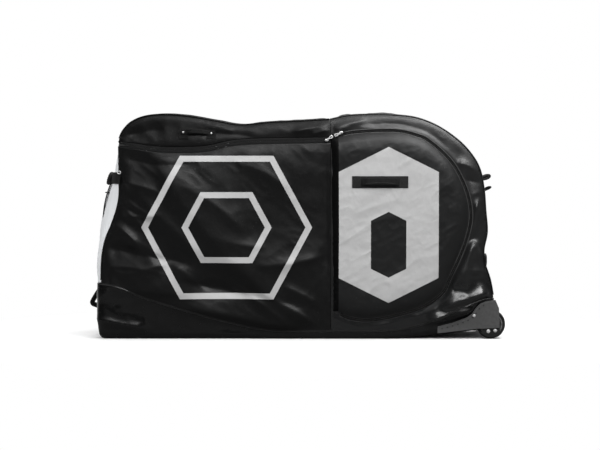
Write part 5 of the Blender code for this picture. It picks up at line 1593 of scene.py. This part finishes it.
def makePlug(end, rise, face):
    # a tongue that reaches into the socket and two rails on the face
    body = end + "_plug"
    path, tall = buckleShell(end, "plug", body, rise, face)
    t = np.linspace(0.0, 1.0, 14)
    run = path[-1, 1] + 0.001 - buckle["tongueLength"] * t
    tongue = np.stack([np.full(14, path[0, 0]), run, np.full(14, path[0, 2])], axis=1)
    wide, high = buckle["tongue"]
    tip = np.maximum(np.sqrt(1 - t ** 12), 0.02)
    blade = pillow(end + "Tongue", tongue, rise, face, wide * np.sqrt(1 - 0.6 * t ** 4) * tip, high * tip,
                   "blackPlastic", 18)
    dress(blade, body, "black_plastic")
    for label, shift in buckle["rails"]:
        route = path[4:22] + face * tall[4:22, None] * 0.98 + rise * shift * buckle["wide"]
        rail = sweep(end + "Rail" + label, route, face, circle(buckle["rail"], 8), "blackPlastic")
        dress(rail, body, "black_plastic")


def makeBuckle(end, facing, tilt):
    # the face leans by tilt, and rise is square to it and to the strap
    face = unit(np.array([facing, 0.0, facing * tilt]))
    rise = np.cross((0.0, 1.0, 0.0), face)
    rise = rise * np.sign(rise[2])
    makeSocket(end, rise, face)
    makePlug(end, rise, face)


# A spare strap end hangs from the end buckle through a keeper ring
hanging = {"route": [(-0.6075, 0.492), (-0.6125, 0.476), (-0.6135, 0.470), (-0.6175, 0.452), (-0.6225, 0.425),
                     (-0.6265, 0.395), (-0.6285, 0.384)],
           "y": -0.050, "lift": 0.0026, "bow": 0.004, "strap": (0.020, 0.0018), "keeper": (0.0052, 0.0145),
           "keeperWire": 0.0019, "keeperAt": 13}


def makeHangingStrap():
    # strap down the end wall, bowed off it by half a sine, through an oval ring
    flat = smoothPath(np.array(hanging["route"]), 50)
    bow = hanging["lift"] + hanging["bow"] * np.sin(np.linspace(0, math.pi, 50))
    flat[:, 0] = endSurface(hanging["y"], flat[:, 1]) - bow
    path = upright(flat, hanging["y"])
    strap = sweep("hangingStrap", path, (-1, 0, 0), strapProfile(*hanging["strap"]), "webbing")
    dress(strap, "root", "webbing")
    oval = np.hstack([circle(1.0, 48) * hanging["keeper"], np.zeros((48, 1))])
    keeper = sweep("keeperRing", path[hanging["keeperAt"]] + (-0.0005, 0, 0) + oval, (0, 0, 1),
                   circle(hanging["keeperWire"]), "blackPlastic", closed=True)
    dress(keeper, "root", "black_plastic")


towLoop = {"route": [(-0.6330, 0.1575), (-0.6420, 0.1500), (-0.6540, 0.1330), (-0.6645, 0.1150),
                     (-0.6680, 0.1070), (-0.6655, 0.1010), (-0.6580, 0.0975), (-0.6450, 0.0935),
                     (-0.6330, 0.0890)],
           "strap": (0.0295, 0.0140)}


def webLoop(name, flat, profile, look, *nodes):
    # webbing along a path in X and Z at the middle of the bag, flat to its own left
    path = upright(flat, 0.0)
    left = headings(path)[:, [2, 1, 0]] * (-1, 1, 1)
    dress(sweep(name, path, left, profile, look), "root", "webbing", *nodes)


def makeTowLoop():
    flat = smoothPath(np.array(towLoop["route"]), 60)
    webLoop("towLoop", flat, strapProfile(*towLoop["strap"]), "webbing", "tow_loop")


# Two pulls of folded webbing on a strip down the tail: look, height, reach, thickness, upward slope and web
tabs = {"width": 0.036, "strip": 0.0018, "stripZ": (0.4320, 0.5430), "lift": 0.0012, "loopLift": 0.0008,
        "fold": [("A", "patchWeb", 0.5070, 0.0300, 0.0096, 0.30, 0.0090),
                 ("B", "webbing", 0.4680, 0.0280, 0.0056, 0.45, 0.0046)],
        "loop": [(0.0, 0.14), (0.30, 0.40), (0.70, 0.50), (0.94, 0.30), (1.0, 0.0), (0.94, -0.30),
                 (0.70, -0.50), (0.30, -0.40), (0.0, -0.14)]}


def makeTabs():
    # a flat backing up the tail, and a loop of webbing for each tab, raised by its slope
    z = np.linspace(*tabs["stripZ"], 40)
    path = upright(np.stack([tailSurface(0.0, z) + tabs["lift"], z], axis=1), 0.0)
    backing = sweep("tabStrip", path, (1, 0, 0), strapProfile(tabs["width"], tabs["strip"]), "webbing")
    dress(backing, "root", "webbing", "tail_tabs")
    for label, look, height, reach, thick, slope, web in tabs["fold"]:
        flat = smoothPath(np.array(tabs["loop"]) * (reach, thick), 64)
        foot = (float(tailSurface(0.0, height)) + tabs["loopLift"], height)
        flat = flat + foot + flat[:, :1] * (0.0, slope)
        webLoop("tailTab" + label, flat, strapProfile(tabs["width"] * 0.9, web), look)


# Wheels: a tyre with a grooved tread and a five-spoked hub, turned about the axle line
wheel = {"bead": 0.0097, "groove": 0.0011, "spokes": 5, "spokeWidth": 0.0085, "spokeThick": 0.0058,
         "turned": 0.3, "rim": 0.0042, "boss": 0.0112, "bore": 0.0046, "web": 0.20}


def wheelPart(name, profile, centre, sign, look, slot, body, node, count, sharp=35):
    # a closed profile of (radius, depth) turned about the axle
    piece = lathe(name, np.array([*profile, profile[0]]) * (1, sign), centre, look, count, sharp)
    dress(piece, body, slot, node)


def makeTyre(side, sign, centre):
    # half circle, flattened by a power and cut by two grooves, turned about the axle
    low, high, _ = boxOf(side + "_tyre")
    inner, outer = sorted((abs(low[1]), abs(high[1])))
    radius, mid, half = (high[2] - low[2]) / 2 - 0.0001, (inner + outer) / 2, (outer - inner) / 2 - 0.0001
    bead = radius - wheel["bead"]
    turn = np.linspace(0.0, math.pi, 22)
    crown = bead + 0.0015 + (radius - bead - 0.0015) * np.sin(turn) ** 0.55
    crown[[7, 14]] -= wheel["groove"]
    depth = mid - half * np.cos(turn) * (0.90 + 0.10 * np.sin(turn))
    profile = [(bead, mid - half * 0.80), *zip(crown, depth), (bead, mid + half * 0.80)]
    wheelPart(side + "Tyre", profile, centre, sign, "tyreRubber", "tyre_rubber", side + "_wheel",
              side + "_tyre", 96, 50)


def makeHub(side, sign, centre):
    # a rim, a boss round the axle and a thin dish between them, with spokes on the dish
    body, node, slot = side + "_wheel", side + "_wheel_hub", "wheel_grey"
    low, high, _ = boxOf(node)
    inner, outer = sorted((abs(low[1]), abs(high[1])))
    edge, middle, web = (high[2] - low[2]) / 2 - 0.0002, (inner + outer) / 2, (outer - inner) * wheel["web"]
    lip, boss, bore = edge - wheel["rim"], wheel["boss"], wheel["bore"]
    rim = [(lip, inner + 0.0025), (lip + 0.0010, inner + 0.0012), (edge, inner + 0.0012),
           (edge, outer - 0.0012), (lip + 0.0010, outer - 0.0012), (lip, outer - 0.0025)]
    core = [(bore, inner + 0.0002), (boss - 0.0012, inner + 0.0002), (boss, inner + 0.0014),
            (boss + 0.001, middle), (boss, outer - 0.0014), (boss - 0.0012, outer - 0.0002),
            (bore, outer - 0.0002)]
    dish = [(boss - 0.001, middle - web), (lip + 0.001, middle - web * 0.7),
            (lip + 0.001, middle + web * 0.7), (boss - 0.001, middle + web)]
    for name, profile, count in (("HubRim", rim, 96), ("HubBoss", core, 48), ("HubDish", dish, 64)):
        wheelPart(side + name, profile, centre, sign, "hubPlastic", slot, body, node, count)
    t = np.linspace(0.0, 1.0, 12)
    reach = (boss - 0.001 + (lip + 0.0005 - boss) * t)[:, None]
    width = wheel["spokeWidth"] * (0.42 + 0.12 * (2 * t - 1) ** 2)
    for k in range(wheel["spokes"]):
        angle = 2 * math.pi * k / wheel["spokes"] + wheel["turned"]
        along, across = (np.array([math.cos(a), 0.0, math.sin(a)]) for a in (angle, angle + math.pi / 2))
        path = np.array([centre[0], sign * (middle + web * 0.6), centre[1]]) + along * reach
        spoke = pillow(side + "Spoke" + str(k), path, across, np.array([0.0, sign, 0.0]), width,
                       np.full(12, wheel["spokeThick"]), "hubPlastic")
        dress(spoke, body, slot)


def makeWheel(side, sign):
    centre = boxOf(side + "_tyre")[2][[0, 2]]
    makeTyre(side, sign, centre)
    makeHub(side, sign, centre)


# Corner guards: a rounded moulding over the wheel, a plate for the axle, a lip along the sloping edge and
# dark dished studs below it, their dark plastic a painted shade for the guard's dimples. Each step of a
# stud's dish is a share of its radius and a height.
guard = {"bevel": 0.0020, "plateBevel": 0.0006, "bevelAngle": 32, "lip": 0.0011, "lipIn": 0.0045,
         "lipSink": 0.0003, "dimple": 0.0026, "dimpleStep": 0.0148, "dimpleIn": 0.0098, "rivet": 0.0022,
         "dish": [(0.0, 0.0003), (0.62, 0.0003), (0.80, 0.0008), (1.0, 0.0004), (1.0, -0.0006),
                  (0.0, -0.0006)]}


def cadObject(node):
    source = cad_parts[node]
    return source if isinstance(source, bpy.types.Object) else bpy.data.objects[source]


def bevelled(node, name, look, width):
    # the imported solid's own surface, merged, with its edges rounded
    piece = bpy.data.objects.new(name, cadObject(node).data.copy())
    scene.collection.objects.link(piece)
    mendMesh(piece, 2e-5, flatten=2)
    piece.data.materials.clear()
    piece.data.materials.append(looks[look])
    edge = piece.modifiers.new("Edges", "BEVEL")
    edge.width, edge.segments, edge.limit_method, edge.harden_normals = width, 3, "ANGLE", True
    edge.angle_limit = math.radians(guard["bevelAngle"])
    return creaseEdges(piece, guard["bevelAngle"])


def makeDimples(name, path, sign):
    # a dished disc, radius and height by ring, repeated at even steps along the path, in dark plastic:
    # painted shade for the dimples
    count = int(pathLength(path) / guard["dimpleStep"])
    share, height = np.array(guard["dish"]).T[:, :, None]
    loop = circle(guard["dimple"], 16)
    offset = np.stack([share * loop[:, 0], sign * height + 0 * loop[:, 0], share * loop[:, 1]], axis=2)
    points = evenPath(path, count)[:, None, None] + offset
    rows, columns = offset.shape[:2]
    faces = copies(gridFaces(rows, columns, False, True)[0], count, rows * columns)
    return mendMesh(addMesh(name, points.reshape(-1, 3), faces, "blackPlastic"), 1e-5)


def makeGuard(side, sign):
    # the solid with rounded edges, its plate and rivets, and a lip and dimples by its top edge, the dimples
    # as dark discs of painted shade
    node = side + "_corner_guard"
    dress(bevelled(node, side + "Guard", "guardPlastic", guard["bevel"]), "root", "guard_plastic", node)
    low, high, _ = boxOf(node)
    face = max(abs(low[1]), abs(high[1]))
    node = side + "_axle_plate"
    plate = bevelled(node, side + "AxlePlate", "blackPlastic", guard["plateBevel"])
    dress(plate, "root", "black_plastic", node)
    for part in ("_guard_rivet", "_cheek_rivet_1", "_cheek_rivet_2"):
        low, high, middle = boxOf(side + part)
        makeRivet(side + part.replace("_", ""), middle[[0, 2]], sign, min(abs(low[1]), abs(high[1])),
                  (high[0] - low[0]) / 2, guard["rivet"], "root", side + part)
    edge = smoothPath(guardTop, 70)
    path = upright(sideStep(edge, guard["lipIn"])[3:-3], sign * (face - guard["lipSink"]))
    ridge = sweep(side + "GuardLip", path, (0, sign, 0), circle(guard["lip"], 8), "guardPlastic")
    dress(ridge, "root", "guard_plastic")
    path = upright(sideStep(edge, guard["dimpleIn"])[4:-14], sign * face)
    dress(makeDimples(side + "GuardDimples", path, sign), "root", "guard_plastic")


def dressCadNode(node, look):
    source = cadObject(node)
    if not source.material_slots:
        source.data.materials.append(looks[look])
    for slot in source.material_slots:
        slot.material = looks[look]


for side, sign in sides:
    makeSidePanel(side, sign)
print("side panels done")
makeEndPanel()
makeTailGusset()
makeLid()
print("bands done")
makeTub()
makeRimTape()
print("tub done")
makeMainZip()
print("main zip done")
for side, sign in sides:
    makeDoor(side, sign)
    makeSurround(side, sign)
    makeHingeStrip(side, sign)
    makePocketZip(side, sign)
    makeDivider(side, sign)
    print("wheel pocket done:", side)
    makeSliders(side, sign)
    makePiping(side, sign)
    makeSeamTape(side, sign)
    makeLidHandle(side, sign)
    makeDoorHandle(side, sign)
    print("trim done:", side)
    makeWheel(side, sign)
    makeGuard(side, sign)
    dressCadNode(side + "_axle", "nickel")
    print("wheel done:", side)
makeStraps()
makeBuckle("end", -1.0, endTilt)
makeBuckle("tail", 1.0, 0.0)
makeHangingStrap()
makeTowLoop()
makeTabs()
dressCadNode("base_board", "boardPlastic")
print("straps done")
